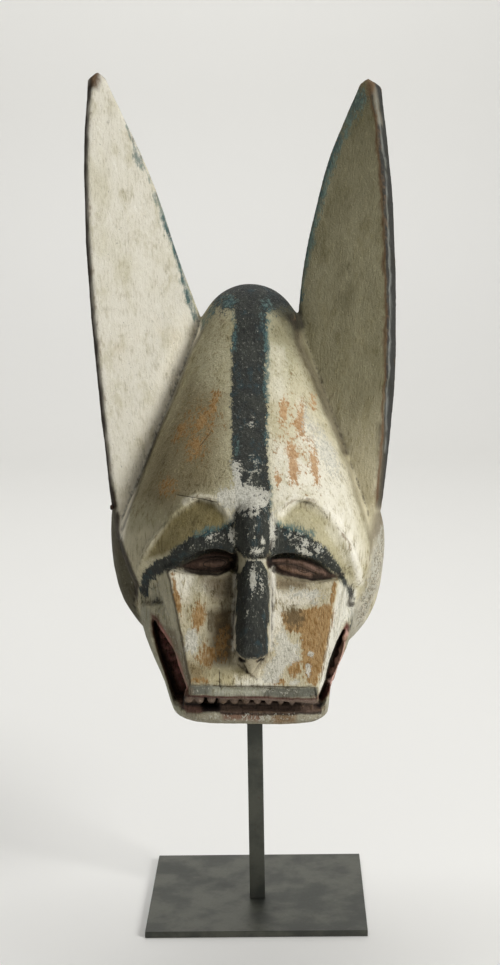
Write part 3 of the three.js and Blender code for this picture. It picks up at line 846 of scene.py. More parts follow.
WASHES: tuple[Wash, ...] = (
    Wash("cooler top of the forehead", (
        (200, 262), (300, 262), (305, 345), (300, 380), (190, 380), (195, 330)), linear(182, 178, 148),
        30.0, 0.6),
    # Painted shade where the crown curves back, right of the stripe.
    Wash("olive crown right of the stripe", (
        (266, 262), (304, 262), (308, 330), (308, 352), (292, 356), (268, 338)), linear(136, 131, 102),
        26.0, 0.9),
    Wash("shade beside the right crevice", (
        (296, 318), (306, 350), (322, 380), (336, 415), (324, 412), (306, 378), (292, 345)),
        linear(126, 120, 94), 10.0, 0.7),
    Wash("pale beside the stripe", (
        (270, 345), (284, 350), (286, 400), (272, 400)), linear(224, 219, 198), 10.0, 0.7),
    Wash("pale under the right rust", (
        (273, 440), (300, 448), (318, 492), (296, 502), (284, 506), (274, 524)), linear(234, 229, 211),
        12.0, 0.8),
    # Dark paint on the crown, with painted shade along its rim.
    Wash("dark rim of the crown", (
        (198, 262), (300, 262), (306, 330), (290, 316), (268, 305), (236, 303), (218, 314), (206, 334)),
        linear(58, 56, 43), 12.0, 0.9),
    # Dark paint on the crown's right shoulder, with painted shade beside the right ear.
    Wash("dark right shoulder of the crown", (
        (262, 266), (290, 272), (304, 300), (312, 340), (302, 346), (286, 324), (270, 306)),
        linear(36, 33, 25), 12.0, 0.95),
    # Painted shade: the left half of the head, the side turned from the lamp, made darker.
    Wash("duller left half", (
        (200, 262), (238, 262), (238, 500), (225, 520), (130, 530), (120, 500), (203, 328)),
        linear(172, 165, 134), 10.0, 0.85),
    # More painted shade on the left forehead, in olive.
    Wash("olive left forehead", (
        (190, 380), (150, 450), (134, 500), (165, 512), (216, 486), (224, 400)), linear(124, 111, 78),
        24.0, 0.8),
    Wash("pale right forehead", (
        (300, 400), (345, 470), (366, 560), (350, 560), (322, 505), (298, 470)), linear(234, 229, 211),
        12.0, 0.9),
    Wash("left lid", (
        (231, 535), (224, 514), (211, 503), (198, 502), (181, 512), (165, 526), (154, 543), (146, 560),
        (170, 552), (196, 536), (222, 530)), linear(134, 122, 82), 5.0, 0.95),
    Wash("right lid", (
        (279, 528), (290, 510), (299, 506.5), (310, 508), (322, 515), (334, 529), (344, 546), (352, 562),
        (352, 580), (338, 566), (322, 548), (300, 535)), linear(184, 176, 142), 5.0, 0.95),
    Wash("left bevel of the muzzle", (
        (168, 569), (150, 586), (148, 612), (160, 622), (172, 645), (190, 694), (192, 685)),
        linear(196, 190, 163), 4.0, 0.9),
    Wash("dark foot of the left bevel", (
        (164, 626), (176, 630), (192, 685), (190, 694), (178, 664)), linear(128, 116, 94), 5.0, 0.8),
    Wash("right bevel of the muzzle", (
        (340, 580), (356, 590), (356, 612), (342, 628), (322, 694), (318, 686)), linear(234, 231, 217),
        4.0, 0.9),
    Wash("muzzle plate", (
        PLATE_TOP_LEFT, PLATE_TOP_RIGHT, PLATE_LOW_RIGHT, PLATE_LOW_LEFT), linear(200, 190, 160), 3.0,
        1.0),
    Wash("yellowed foot of the plate", (
        (190, 664), (250, 668), (250, 685), (192, 684)), linear(190, 179, 140), 8.0, 0.8),
    Wash("grey head of the plate", (
        (178, 572), (236, 578), (236, 596), (182, 592)), linear(198, 192, 172), 8.0, 0.8),
    Wash("shadowed paint left of the nose", (
        (209, 612), (234, 604), (234, 662), (212, 662)), linear(84, 68, 42), 12.0, 0.95),
    Wash("shade under the left eye", (
        (200, 575), (238, 571), (238, 600), (214, 600)), linear(106, 92, 68), 14.0, 0.85),
    Wash("shade under the right eye", (
        (265, 572), (283, 578), (309, 581), (308, 589), (283, 590), (268, 590)), linear(112, 96, 70), 9.0,
        0.85),
    Wash("pale left top of the plate", (
        (168, 570), (190, 574), (190, 600), (178, 602)), linear(242, 236, 217), 8.0, 0.85),
    Wash("pale right of the nose", (
        (271, 590), (284, 592), (316, 592), (318, 604), (284, 608), (283, 640), (272, 640)),
        linear(234, 228, 211), 6.0, 0.8),
    Wash("pale foot under the nose", (
        (236, 675), (276, 678), (276, 687), (236, 686)), linear(236, 231, 212), 7.0, 0.95),
    Wash("stained left foot of the plate", (
        (184, 660), (206, 666), (206, 685), (192, 685)), linear(126, 106, 70), 9.0, 0.75),
    Wash("nose's underside", (
        (233, 652), (272, 653), (274, 658), (257, 677), (248, 673), (233, 660)), linear(192, 182, 156),
        3.5, 0.9),
    Wash("upper lip band", (
        (190, 686), (255, 686.5), (317, 688), (319, 698), (255, 696.5), (189, 695)),
        linear(112, 112, 100), 2.5, 1.0),
    Wash("pale middle of the lip band", (
        (212, 687), (262, 688), (262, 696), (212, 695)), linear(184, 183, 162), 8.0, 0.85),
    Wash("left jaw", (
        (142, 600), (150, 612), (152, 640), (164, 672), (178, 704), (184, 712), (188, 726), (176, 722),
        (155, 670), (140, 625)), linear(168, 166, 145), 4.0, 0.9),
    Wash("right jaw", (
        (352, 616), (360, 600), (362, 622), (350, 650), (338, 690), (330, 708), (324, 722), (322, 704),
        (331, 694), (338, 672), (347, 640)), linear(166, 162, 146), 4.0, 0.9),
    Wash("lower lip", (
        (184, 711), (260, 714.5), (324, 712), (330, 708), (326, 720), (300, 727), (200, 725), (182, 722)),
        linear(158, 152, 132), 3.0, 1.0),
    Wash("brown on the lower lip", (
        (222, 712), (264, 714), (262, 721), (224, 720)), linear(122, 84, 66), 4.0, 0.8),
    Wash("brown right of it", (
        (268, 714), (296, 713), (296, 722), (274, 723)), linear(142, 112, 78), 5.0, 0.8),
    Wash("left slot", SLOT_LEFT, linear(112, 84, 70), 3.0, 1.0, True),
    Wash("right slot", SLOT_RIGHT, linear(112, 60, 54), 3.0, 1.0, True),
    Wash("gum in the right slot", (
        (346, 630), (348, 634), (340, 662), (331, 686), (328, 682), (336, 656)), linear(240, 196, 184),
        3.0, 0.95, True),
    Wash("gum in the left slot", (
        (158, 622), (169, 639), (180, 664), (187, 688), (181, 690), (172, 666), (162, 645)),
        linear(214, 150, 140), 4.0, 0.9, True),
    # Near-black: painted shade in the mouth's gap.
    Wash("mouth", MOUTH_GAP, linear(28, 18, 15), 2.5, 1.0, True),
    Wash("upper teeth", (
        (186, 696), (255, 697), (318, 699), (318, 704.5), (255, 704), (184, 702)), linear(128, 110, 97),
        2.0, 1.0),
    Wash("lower teeth", (
        (221, 705.5), (316, 705.5), (322, 711), (300, 713.5), (221, 713)), linear(98, 80, 68), 2.5, 0.95),
    Wash("lower teeth on the left", (
        (182, 705), (203, 706), (202, 713), (186, 713)), linear(96, 70, 60), 2.5, 0.95),
    Wash("left eye", EYE_LEFT, linear(74, 56, 47), 2.5, 1.0),
    Wash("right eye", EYE_RIGHT, linear(80, 62, 51), 2.5, 1.0),
)
FLANGES: tuple[Wash, ...] = (
    Wash("left flange", (
        (100, 474), (111, 476), (115, 492), (117, 513), (118, 531), (124, 550), (137, 583), (137, 608),
        (148, 644), (120, 612), (96, 560)), linear(86, 82, 64), 4.0, 0.95),
    Wash("right flange", (
        (390, 500), (379, 508), (374, 545), (365, 582), (352, 616), (358, 644), (378, 590), (388, 550)),
        linear(196, 190, 172), 4.0, 0.9),
    Wash("shade at the top of the right flange", (
        (388, 502), (374, 512), (368, 540), (372, 548), (384, 530)), linear(122, 112, 92), 8.0, 0.8),
)
RUBS: tuple[Rub, ...] = (
    # Painted shade in the crevice between the dome and the left ear.
    Rub("dirt in the left crevice", (
        (203, 328), (189.5, 356), (173, 399.5), (156, 438), (145, 466), (130, 509), (122, 530)),
        linear(84, 74, 56), 2.4, 0.6),
    # Painted shade in the crevice between the dome and the right ear.
    Rub("dirt in the right crevice", (
        (296, 318), (300.5, 346), (314, 374), (330, 415), (344, 452)), linear(84, 74, 56), 6.5, 0.65),
    # A dark stain, with painted shade, at the right ear's root.
    Rub("dark root of the right ear", (
        (290, 276), (294, 296), (299, 326)), linear(44, 42, 33), 8.5, 0.85),
    # Painted shade at the foot of the right crevice.
    Rub("foot of the right crevice", (
        (344, 452), (358, 498), (368, 532), (373, 553)), linear(96, 86, 66), 3.6, 0.4),
    Rub("shade where the right ear meets the cheek", (
        (382, 425), (380, 480), (378, 506)), linear(88, 80, 64), 6.0, 0.7),
    Rub("pale side of the right ear's tip", (
        (374, 88), (377, 104), (380, 122)), linear(136, 130, 114), 4.0, 0.8),
    Rub("crevice of the left flange", (
        (117, 513), (118, 531), (123, 550), (130, 568), (137, 583), (136, 608)), linear(58, 50, 40), 3.0,
        0.9),
    Rub("pale outer half of the right lid", (
        (330, 528), (342, 546), (349, 562)), linear(208, 202, 178), 8.0, 0.7),
    # Painted highlight along the right arch's raised lip, where it catches the light.
    Rub("pale lip of the right arch", (
        (282, 512), (290, 502.5), (300, 497.5), (312, 499), (324, 506), (338, 520), (349, 539),
        (356, 558), (360, 582)), linear(240, 235, 218), 6.4, 0.9),
    Rub("pale lip of the left arch", (
        (228, 512), (214, 500), (199, 497), (186, 502)), linear(230, 223, 199), 5.4, 0.75),
    Rub("dark edge of the left ear", (
        (96, 70), (88, 90), (85, 106), (84, 162), (84.6, 209), (88, 273), (89.5, 299), (100, 400),
        (108, 480), (113, 505)), linear(58, 48, 38), 5.0, 1.0),
    Rub("rust-brown corner of the right ear", (
        (367, 84), (375.5, 118), (382.5, 206), (385.5, 284), (385.5, 350), (381.5, 450), (377, 500)),
        linear(96, 70, 46), 1.8, 0.85),
    Rub("pale strip behind the corner", (
        (377, 100), (386, 172), (390, 284), (389.5, 350), (385.5, 450)), linear(140, 142, 136), 1.2, 0.6),
    Rub("bare tip of the left ear", ((95, 70), (95, 82)), linear(92, 72, 52), 8.0, 0.95),
    Rub("bare tip of the right ear", ((371, 78), (370, 90)), linear(112, 90, 64), 7.0, 0.9),
    Rub("grime beside the plate's left edge", (
        (166, 568), (176, 610), (190, 684)), linear(92, 82, 62), 1.8, 0.8),
    Rub("gum line over the teeth", ((188, 696.5), (255, 697), (318, 699)), linear(84, 50, 44), 1.6, 0.9),
    Rub("dark line over the lower lip", (
        (222, 713.5), (270, 714.5), (320, 713)), linear(40, 28, 24), 1.6, 0.9),
    Rub("grey-green foot of the jaw", (
        (176, 716), (190, 724), (250, 727), (300, 728), (322, 720)), linear(96, 94, 80), 3.0, 0.7),
    Rub("cream between boss and nose", (
        (248, 560.5), (256, 561.5), (264, 560)), linear(206, 200, 182), 3.4, 0.9),
    Rub("line under the lip band", LIP_BAND_FOOT, linear(84, 74, 56), 1.0, 0.8),
    Rub("left eye's lens", ((200, 564), (214, 565), (226, 563)), linear(116, 93, 80), 3.4, 0.75),
    Rub("lower rim of the left eye", (
        (184, 570), (200, 573.5), (218, 574.5), (234, 567)), linear(34, 22, 18), 2.2, 0.9),
    Rub("lid's shadow over the left eye", (
        (177, 566.5), (188, 559.5), (200, 553.5), (212, 550), (224, 549.5), (232, 551), (237, 556)),
        linear(16, 11, 9), 3.4, 0.95),
    # Painted shadow in the left eye's inner corner.
    Rub("left eye's inner corner", ((232, 553), (236, 560), (233, 565)), linear(14, 10, 8), 5.0, 0.95),
    # Painted shadow in the right eye's inner corner.
    Rub("right eye's inner corner", ((269, 556), (275, 558), (271, 564)), linear(14, 10, 8), 5.8, 0.92),
    Rub("right eye's lens", ((282, 568), (296, 571), (310, 575)), linear(136, 109, 92), 3.4, 0.8),
    Rub("right eye's upper rim", (
        (274, 561), (290, 560), (300, 561.5), (308, 565), (316, 569), (325, 574.5)), linear(132, 106, 92),
        2.4, 0.85),
    Rub("lower rim of the right eye", (
        (272, 564), (281, 570.5), (295, 576), (310, 578.8), (331, 578.8)), linear(36, 20, 16), 1.9, 0.9),
    Rub("lid's shadow over the right eye", (
        (268, 559), (284, 555.8), (300, 556.5), (310, 560), (320, 564.5), (331, 573)), linear(18, 13, 10),
        2.8, 0.95),
    Rub("pale edge left of the nose", (
        (235.5, 570), (235, 600), (233, 650)), linear(230, 224, 206), 3.0, 0.85),
    # Painted highlight on the nose's right edge, which faces the lamp.
    Rub("pale edge right of the nose", (
        (273.5, 568), (273.5, 600), (271, 650)), linear(242, 237, 222), 3.4, 0.85),
    # Painted shadow along the foot of the nose's underside.
    Rub("dirt line under the nose", ((238, 664), (246, 671), (256, 678)), linear(96, 84, 64), 1.4, 0.8),
    # Dark in the nostrils' pits: painted shade.
    Rub("left nostril", ((240, 659), (244, 661)), linear(30, 24, 20), 2.8, 1.0),
    Rub("right nostril", ((258, 661), (262, 659.5)), linear(30, 24, 20), 2.4, 1.0),
)

PAINT: dict[str, tuple[Union[Spot, Field, Stroke], ...]] = {
    "ochre": (
        Spot("right rust field", 296, 440, 20, 48, -8, 0.48),
        Spot("ochre streak right of the stripe", 284, 410, 4.5, 15, 0, 0.9),
        Spot("ochre streak beside it", 302, 421, 4, 20, -5, 0.85),
        Spot("ochre streak below", 292, 460, 5, 26, -4, 0.9),
        Spot("ochre streak at the edge", 314, 462, 5, 26, -8, 0.8),
        Spot("ochre streak by the stripe", 278, 479, 3, 8, 0, 0.8),
        Spot("faint ochre streak", 313, 402, 4, 11, 0, 0.65),
    ),
    "gold": (
        Spot("left rust field", 198, 428, 24, 36, 14, 0.46),
        Spot("ochre stroke on the brow", 213, 403, 6, 15, 12, 0.7),
        Spot("ochre stroke below it", 202, 421, 6, 16, 20, 0.7),
        Spot("ochre stroke at the edge", 180, 433, 6, 18, 22, 0.62),
        Spot("ochre stroke lower down", 195, 448, 8, 16, 12, 0.68),
        Spot("reddish rub over the left lid", 168, 486, 12, 12, 25, 0.62),
        Spot("ochre on the left of the muzzle", 199, 618, 7, 15, 8, 0.9),
        Spot("ochre haze left of the nose", 222, 640, 9, 28, 0, 0.55),
        Spot("ochre up the muzzle's left edge", 176, 596, 3.0, 26, -12, 0.8),
        Spot("ochre round the white", 208, 656, 12, 12, 0, 0.72),
        Spot("ochre crumbs at the lip", 200, 681, 10, 4, 0, 0.72),
        Field("ochre on the right of the muzzle", (
            (281, 614), (304, 609), (322, 604), (334, 598), (336, 612), (330, 640), (324, 668),
            (316, 688), (304, 684), (300, 655), (300, 634), (284, 630)), 10.0, 0.84),
        Spot("ochre streak up to the eye", 333, 596, 3.5, 18, 12, 0.8),
        Spot("ochre low on the muzzle", 294, 668, 7, 12, 10, 0.8),
        Spot("ochre streak over the lip", 279, 682, 10, 3.5, -8, 0.8),
    ),
    "brown": (
        Spot("olive on the left of the muzzle", 210, 620, 5, 13, 8, 0.78),
        Spot("brown on the left of the muzzle", 222, 612, 5, 18, 0, 0.62),
        Spot("dark smudge on the right of the muzzle", 293.5, 617.5, 10, 11, 0, 0.84),
        Spot("brown line on the muzzle's right edge", 328, 640, 1.6, 56, 11, 0.6),
    ),
    "blue": (
        Field("stripe down the forehead", (
            (232, 258), (278, 258), (276, 290), (269, 306), (267, 322), (266, 345), (266, 403),
            (267, 440), (269, 470), (271, 504), (238, 504), (234, 470), (232, 440), (231, 403),
            (233, 345), (235, 320), (234, 306), (232, 290)), 9.0, 1.0),
        Field("dark crown", (
            (204, 276), (240, 258), (292, 262), (304, 298), (292, 311), (270, 315), (236, 312),
            (212, 312)), 22.0, 0.8),
        Field("stripe below the white", ((238, 498), (270, 500), (271, 520), (235, 520)), 8.0, 1.0),
        Field("boss", (
            (234, 512), (271, 512), (272, 545), (266, 557), (255, 560), (245, 557), (235, 547)), 5.0,
            1.1),
        Field("nose", (
            (247, 561), (262, 561), (268, 572), (269.5, 600), (267.5, 640), (267, 654), (262, 657),
            (252, 659), (243, 657), (236.5, 651), (235.5, 630), (237, 600), (238, 574)), 4.5, 1.1),
        Field("left brow band", (
            (235, 520), (236, 552), (224, 550), (212, 550.5), (200, 554), (188, 560), (176, 568),
            (158, 575), (150, 580), (148, 596), (144, 600), (140, 589), (144, 571), (158, 561),
            (168, 554), (181, 543), (196, 535), (212, 530), (226, 524)), 9.0, 1.0),
        Field("right brow band", (
            (271, 521), (286, 526), (309, 534), (325, 549), (336, 562), (344, 577), (351, 588),
            (354, 599), (350, 597), (346, 587), (338, 576), (324, 566), (309, 558), (288, 554.5),
            (270, 556)), 9.0, 1.0),
        Stroke("dark foot of the left ear's edge", (
            (163, 216), (174, 248), (183, 280), (191, 306), (200, 326)), 1.7, 0.6),
        Stroke("dark spots on the right ear's edge", (
            (344, 120), (334, 150), (324, 176), (314, 214), (304, 256)), 2.8, 0.52),
        Spot("blue smears left of the muzzle", 158, 600, 5, 16, -20, 0.46),
        Spot("dark smears right of the muzzle", 352, 618, 4, 14, 10, 0.42),
    ),
    "teal": (
        Spot("teal on the crown", 226, 300, 12, 10, 0, 0.62),
        Spot("teal on the crown's right", 266, 312, 8, 16, 0, 0.6),
        Stroke("teal line right of the stripe", (
            (267, 322), (267, 345), (267, 372), (267, 400)), 3.2, 0.75),
        Stroke("teal low right of the stripe", ((267, 415), (267, 452)), 2.4, 0.55),
        Stroke("teal line left of the stripe", ((233, 312), (236, 332), (235, 350)), 3.0, 0.62),
        Spot("teal low on the stripe", 238, 448, 4, 14, 0, 0.6),
        Spot("teal right of the white", 271, 496, 3, 18, 0, 0.7),
        Stroke("teal over the left brow", ((198, 534), (214, 529), (232, 522)), 4.5, 0.66),
        Spot("teal end of the left brow", 229, 527, 5, 9, 0, 0.66),
        Stroke("teal over the right brow", ((278, 524), (292, 526), (312, 534)), 5.0, 0.66),
        Spot("teal blotch on the left ear", 138, 159, 5, 10, -20, 0.8),
        Stroke("teal along the left ear's edge", ((126, 122), (139, 156), (150, 182)), 2.4, 0.62),
        Stroke("teal down the left ear's edge", (
            (156, 196), (165, 221), (176, 252), (186, 288), (196, 318)), 3.6, 0.82),
        Stroke("teal at the crown's left", ((202, 326), (214, 308)), 4.0, 0.6),
        Spot("teal blotch on the right ear", 356, 104, 9, 16, 20, 0.95),
        Stroke("teal down the right ear's edge", (
            (352, 112), (338, 146), (325, 182), (314, 222), (304, 262), (297, 300)), 5.6, 0.78),
    ),
    "white": (
        Field("white under the stripe", (
            (233, 458), (241, 460), (243, 482), (262, 486), (272, 490), (272, 503), (260, 511),
            (240, 512), (222, 508), (213, 500), (216, 491), (231, 486)), 12.0, 0.84),
        Spot("white on the boss", 253, 512, 14, 7, 0, 0.5),
        Spot("white low on the boss", 256, 552, 9, 6, 0, 0.6),
        Spot("worn face of the boss", 254, 530, 14, 20, 0, 0.27),
        Spot("worn face of the nose", 252, 606, 12, 36, 0, 0.22),
        Spot("white dab on the boss", 264, 541, 2.5, 4, 0, 0.75),
        Spot("white flecks low on the stripe", 252, 470, 14, 18, 0, 0.25),
        Spot("white flecks on the left band", 214, 541, 24, 7, -18, 0.38),
        Spot("white flecks on the right band", 308, 545, 30, 9, 25, 0.49),
        Spot("white tip of the left band", 232, 534, 5, 10, 0, 0.76),
        Spot("white fleck on the stripe", 251, 422, 5, 8, 0, 0.45),
        Spot("pale ridge beside the boss", 273.5, 527, 4.0, 22, 0, 0.92),
        Spot("white left of the boss", 232, 512, 5, 14, 0, 0.6),
        Spot("cream fleck in the right band", 306, 552, 9, 4, 20, 0.8),
        Spot("cream fleck in the left band", 212, 536, 10, 3, -25, 0.6),
        Spot("white on the right of the forehead", 327, 452, 9, 30, -22, 0.76),
        Spot("white above it", 308, 425, 6, 20, -10, 0.6),
        Field("white beside the nose", (
            (274, 640), (284, 626), (292, 640), (300, 642), (300, 660), (288, 668), (276, 686),
            (262, 684), (262, 668), (274, 656)), 9.0, 0.85),
        Spot("grey top of the muzzle", 306, 594, 24, 9, 5, 0.62),
        Spot("white on the left of the muzzle", 192, 642, 8, 13, 0, 0.9),
        Spot("white island", 311, 653, 3, 4, 0, 0.85),
        Spot("lower white island", 308, 671, 3, 6, 0, 0.85),
        Spot("white island at the lip", 293, 682, 7, 4, 0, 0.85),
        Spot("white residue on the nose", 253, 578, 4, 17, 0, 0.7),
        Spot("white residue right of it", 262, 582, 4, 18, 0, 0.46),
        # Painted highlight down the nose's right side, which faces the lamp, laid as a coat of white.
        Stroke("pale right side of the nose", ((270, 570), (271.5, 600), (270, 645)), 2.6, 0.62),
    ),
    "scuff": (
        Field("left cheek's scuffs", (
            (122, 560), (135, 585), (134, 606), (128, 600), (120, 580), (104, 545)), 8.0, 0.26),
        Field("right cheek's scuffs", (
            (384, 516), (374, 545), (366, 582), (353, 614), (358, 640), (378, 592), (390, 550)), 8.0,
            0.62),
        Field("right bevel's scuffs", (
            (340, 582), (357, 590), (356, 614), (344, 628), (325, 696), (319, 688)), 6.0, 0.40),
        Field("left bevel's scuffs", (
            (167, 572), (152, 586), (148, 612), (158, 622), (173, 650), (189, 694), (190, 684)), 6.0,
            0.34),
        Field("left jaw's scuffs", (
            (141, 600), (149, 612), (151, 640), (164, 675), (178, 706), (176, 720), (155, 672),
            (140, 625)), 6.0, 0.36),
        Field("right jaw's scuffs", (
            (362, 610), (352, 640), (342, 676), (330, 706), (326, 720), (342, 690), (360, 640)), 6.0,
            0.40),
        Field("lip band's scuffs", ((190, 687), (318, 689), (318, 695), (190, 694)), 6.0, 0.42),
        Field("lower lip's scuffs", ((184, 714), (325, 713), (326, 722), (190, 725)), 7.0, 0.42),
    ),
}


@dataclass(frozen=True)
class Split:
    """A fine dark line: a crack, or a ring cut into an eye."""

    name: str
    line: tuple[Pixel, ...]
    half_width: float = 0.5


SPLITS: tuple[Split, ...] = (
    Split("crack over the left lid", CRACK_LID),
    Split("crack in the muzzle", CRACK_MUZZLE),
    Split("crack on the forehead", ((200, 446), (204, 441), (209, 434)), 0.4),
    Split("nick at the lip's right end", ((315, 690), (316, 697)), 0.9),
    Split("left eye's outer ring", (
        (182, 567), (192, 561), (205, 557), (220, 556), (229, 559), (229, 563), (222, 569), (208, 571),
        (195, 570), (182, 567)), 0.8),
    Split("left eye's inner ring", (
        (203, 563.5), (210, 559.5), (220, 559), (226, 562), (222, 567), (211, 568.5), (204, 566.5),
        (203, 563.5)), 0.6),
    Split("right eye's ring", ((274, 565), (285, 563.5), (295, 565), (305, 569), (316, 574)), 0.8),
    Split("right eye's curl", ((296, 567), (299, 571), (305, 573), (310, 571)), 0.5),
)


@dataclass
class Teeth:
    """Rows of teeth, and the wood at the right eye's inner corner, which the eye's pit leaves too thin."""

    count: int = 11
    left: float = -44.5
    right: float = 39.5
    middle: float = 22.8
    depth: float = -107.5
    size: tuple[float, float, float] = (3.5, 3.4, 5.6)
    side_size: tuple[float, float, float] = (2.6, 3.0, 2.9)
    left_side: tuple[Pixel, ...] = ((163, 634), (168, 645), (173, 656), (178, 668), (183, 681))
    right_side: tuple[Pixel, ...] = ((345, 638), (341, 649), (337, 660), (333, 671), (329, 682))
    eye_corner: Pixel = (265.8, 553.4)
    beside_corner: Pixel = (261.0, 553.4)
    corner_size: tuple[float, float, float] = (4.0, 5.0, 4.0)
    segments: int = 14
    rings: int = 9

    def add_to(self, shape: bmesh.types.BMesh, seat: MaskSeat, view: PhotoView) -> list[Vector]:
        """Adds the teeth and the eye's corner to a shape that is about to be fused.

        Args:
            shape: The mask's mesh, in metres.
            seat: How the mask sits.
            view: The photograph's camera.

        Returns:
            Points on them in millimetres, which the smoothing keeps.
        """
        tree = BVHTree.FromBMesh(shape)
        spots = []
        for index in range(self.count):
            across = self.left + (self.right - self.left) * index / (self.count - 1)
            spots.append((seat.room(Vector((across, self.depth, self.middle))), self.size))
        for pixel in (*self.left_side, *self.right_side):
            hit = tree.ray_cast(Vector(view.place), view.ray(pixel))[0]
            if hit is not None:
                spots.append((hit, self.side_size))
        beside = tree.ray_cast(Vector(view.place), view.ray(self.beside_corner))[0]
        reach = (beside - Vector(view.place)).length + self.corner_size[1] * MM
        spots.append((Vector(view.place) + view.ray(self.eye_corner) * reach, self.corner_size))
        marks = []
        for place, size in spots:
            ball = bmesh.ops.create_uvsphere(shape, u_segments=self.segments, v_segments=self.rings,
                                             radius=MM)["verts"]
            bmesh.ops.scale(shape, vec=size, verts=ball)
            bmesh.ops.translate(shape, vec=place, verts=ball)
            marks.extend(vert.co / MM for vert in ball)
        return marks


@dataclass
class HelmetMask:
    """The carved and painted mask, cut finer than the part's solid. Its sizes are in millimetres."""

    node: str = "helmet_mask"
    seat: MaskSeat = field(default_factory=MaskSeat)
    view: PhotoView = field(default_factory=PhotoView)
    seed: int = 11
    cell: float = 1.15
    triangles: int = 190000
    fine_window: tuple[float, float, float, float] = (138, 494, 362, 735)
    fine_depth: float = -62.0
    weld: float = 0.002
    soft_crease: float = math.radians(20)
    hard_crease: float = math.radians(48)
    even_rounds: int = 70
    even_pull: float = 0.55
    even_reach: tuple[float, float] = (0.6, 6.0)
    last_rounds: int = 2
    last_pull: float = 0.45
    carved_facing: tuple[float, float] = (0.0, 0.3)
    carved_depth: tuple[float, float] = (-40.0, -60.0)
    swells: tuple[tuple[float, tuple[int, int, int], int], ...] = (
        (0.40, (22, 22, 34), 0), (0.16, (8, 8, 14), 50), (0.10, (3, 3, 7), 70))
    gouge_size: tuple[int, int, int] = (13, 13, 34)
    gouge_depth: float = 1.9
    edge_reach: tuple[float, float] = (4.5, 0.5)
    chip_size: float = 9.0
    chip_depth: float = 0.9
    edge_size: float = 6.0
    edge_wear: float = 0.3
    middle_line: tuple[float, float] = (3.0, -5.0)
    middle_heights: tuple[float, float] = (-5.0, 255.0)
    hollow_top: float = 268.0
    hollow_front: float = -95.0
    stop_short: float = 0.6
    clearance: float = 0.8
    edge_on: float = 0.02
    reach_rounds: int = 45
    reach_weight: float = 0.0005
    reach_gain: float = 1.6
    ear_base: tuple[float, float] = (55.0, 65.0)
    high_part: tuple[float, float] = (215.0, 245.0)
    low_wrap: tuple[float, float] = (-0.30, -0.02)
    high_wrap: tuple[float, float] = (-0.03, 0.05)
    cavity_rounds: int = 6
    dell_rounds: int = 45
    deepest: float = 3.0
    tear_size: float = 9.0
    tear: float = 1.6
    far_off: float = 9.0

    def build(self) -> bpy.types.Object:
        """Carves and paints the mask.

        Returns:
            The finished piece.
        """
        merged, creases, edges = self._merged_copy()
        rough = new_object("mask_rough", merged)
        fine = with_modifier(rough, "REMESH", mode="VOXEL", voxel_size=self.cell * MM)
        bpy.data.objects.remove(rough)
        skin = Skin(fine)
        log.info("mask remeshed to %d points", skin.count)
        self._even_out(skin, self._distance(skin.points, creases))
        self._carve(skin)
        self._tool_marks(skin, self._distance(skin.points, edges))
        skin.give_back()
        holder = new_object("mask_holder", fine)
        ratio = min(1.0, self.triangles / (2.0 * len(fine.polygons)))
        plain = holder.vertex_groups.new(name="plain_areas")
        plain.add(np.nonzero(~self._detailed(skin))[0].tolist(), 1.0, "REPLACE")
        mesh = with_modifier(holder, "DECIMATE", ratio=ratio, vertex_group=plain.name,
                             vertex_group_factor=1.0)
        bpy.data.objects.remove(holder)
        log.info("mask reduced from %d faces", len(fine.polygons))
        mesh.shade_smooth()
        mask = new_object("carved_mask", mesh)
        self._paint(Skin(mesh))
        mesh.materials.clear()
        mesh.materials.append(PaintedWood().build())
        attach(mask, "root")
        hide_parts(self.node)
        return mask

    def _merged_copy(self) -> tuple[bpy.types.Mesh, np.ndarray, np.ndarray]:
        """A joined copy of the CAD mesh with its teeth, and points along its creases.

        Returns:
            The mesh, the points on all creases and those on the sharp outward edges, in millimetres.
        """
        shape = bmesh.new()
        shape.from_mesh(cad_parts[self.node].data)
        bmesh.ops.remove_doubles(shape, verts=shape.verts, dist=self.weld * MM)
        creases, edges = [], []
        for edge in shape.edges:
            if len(edge.link_faces) != 2 or edge.calc_face_angle(0.0) < self.soft_crease:
                continue
            start, end = (vert.co / MM for vert in edge.verts)
            steps = max(1, round((end - start).length))
            marks = [start.lerp(end, step / steps) for step in range(steps + 1)]
            creases.extend(marks)
            if edge.calc_face_angle_signed(0.0) > self.hard_crease:
                edges.extend(marks)
        creases.extend(Teeth().add_to(shape, self.seat, self.view))
        merged = bpy.data.meshes.new("mask_merged")
        shape.to_mesh(merged)
        shape.free()
        return merged, np.array(creases), np.array(edges)

    @staticmethod
    def _distance(points: np.ndarray, marks: np.ndarray) -> np.ndarray:
        """How far each point is from the nearest mark.

        Args:
            points: The points as rows, in millimetres.
            marks: The marks as rows.

        Returns:
            Distances in millimetres.
        """
        tree = KDTree(len(marks))
        for index, mark in enumerate(marks):
            tree.insert(mark, index)
        tree.balance()
        return np.array([tree.find(point)[2] for point in points])

    def _even_out(self, skin: Skin, nearness: np.ndarray) -> None:
        """Takes the flat facets out of the rounded faces and keeps the carved edges.

        Args:
            skin: The mask's surface.
            nearness: Each point's distance to a crease.
        """
        pull = self.even_pull * step_between(nearness, *self.even_reach)
        skin.points = skin.smooth(skin.points, self.even_rounds, pull)
        skin.points = skin.smooth(skin.points, self.last_rounds, self.last_pull)

    def _facing(self, skin: Skin, normals: np.ndarray) -> np.ndarray:
        """How squarely each point faces the photograph's camera.

        Args:
            skin: The mask's surface.
            normals: Its normals.

        Returns:
            Values from -1 to 1.
        """
        to_eye = np.array(self.view.place) - skin.points * MM
        to_eye /= np.linalg.norm(to_eye, axis=1)[:, None]
        return np.sum(normals * to_eye, axis=1)

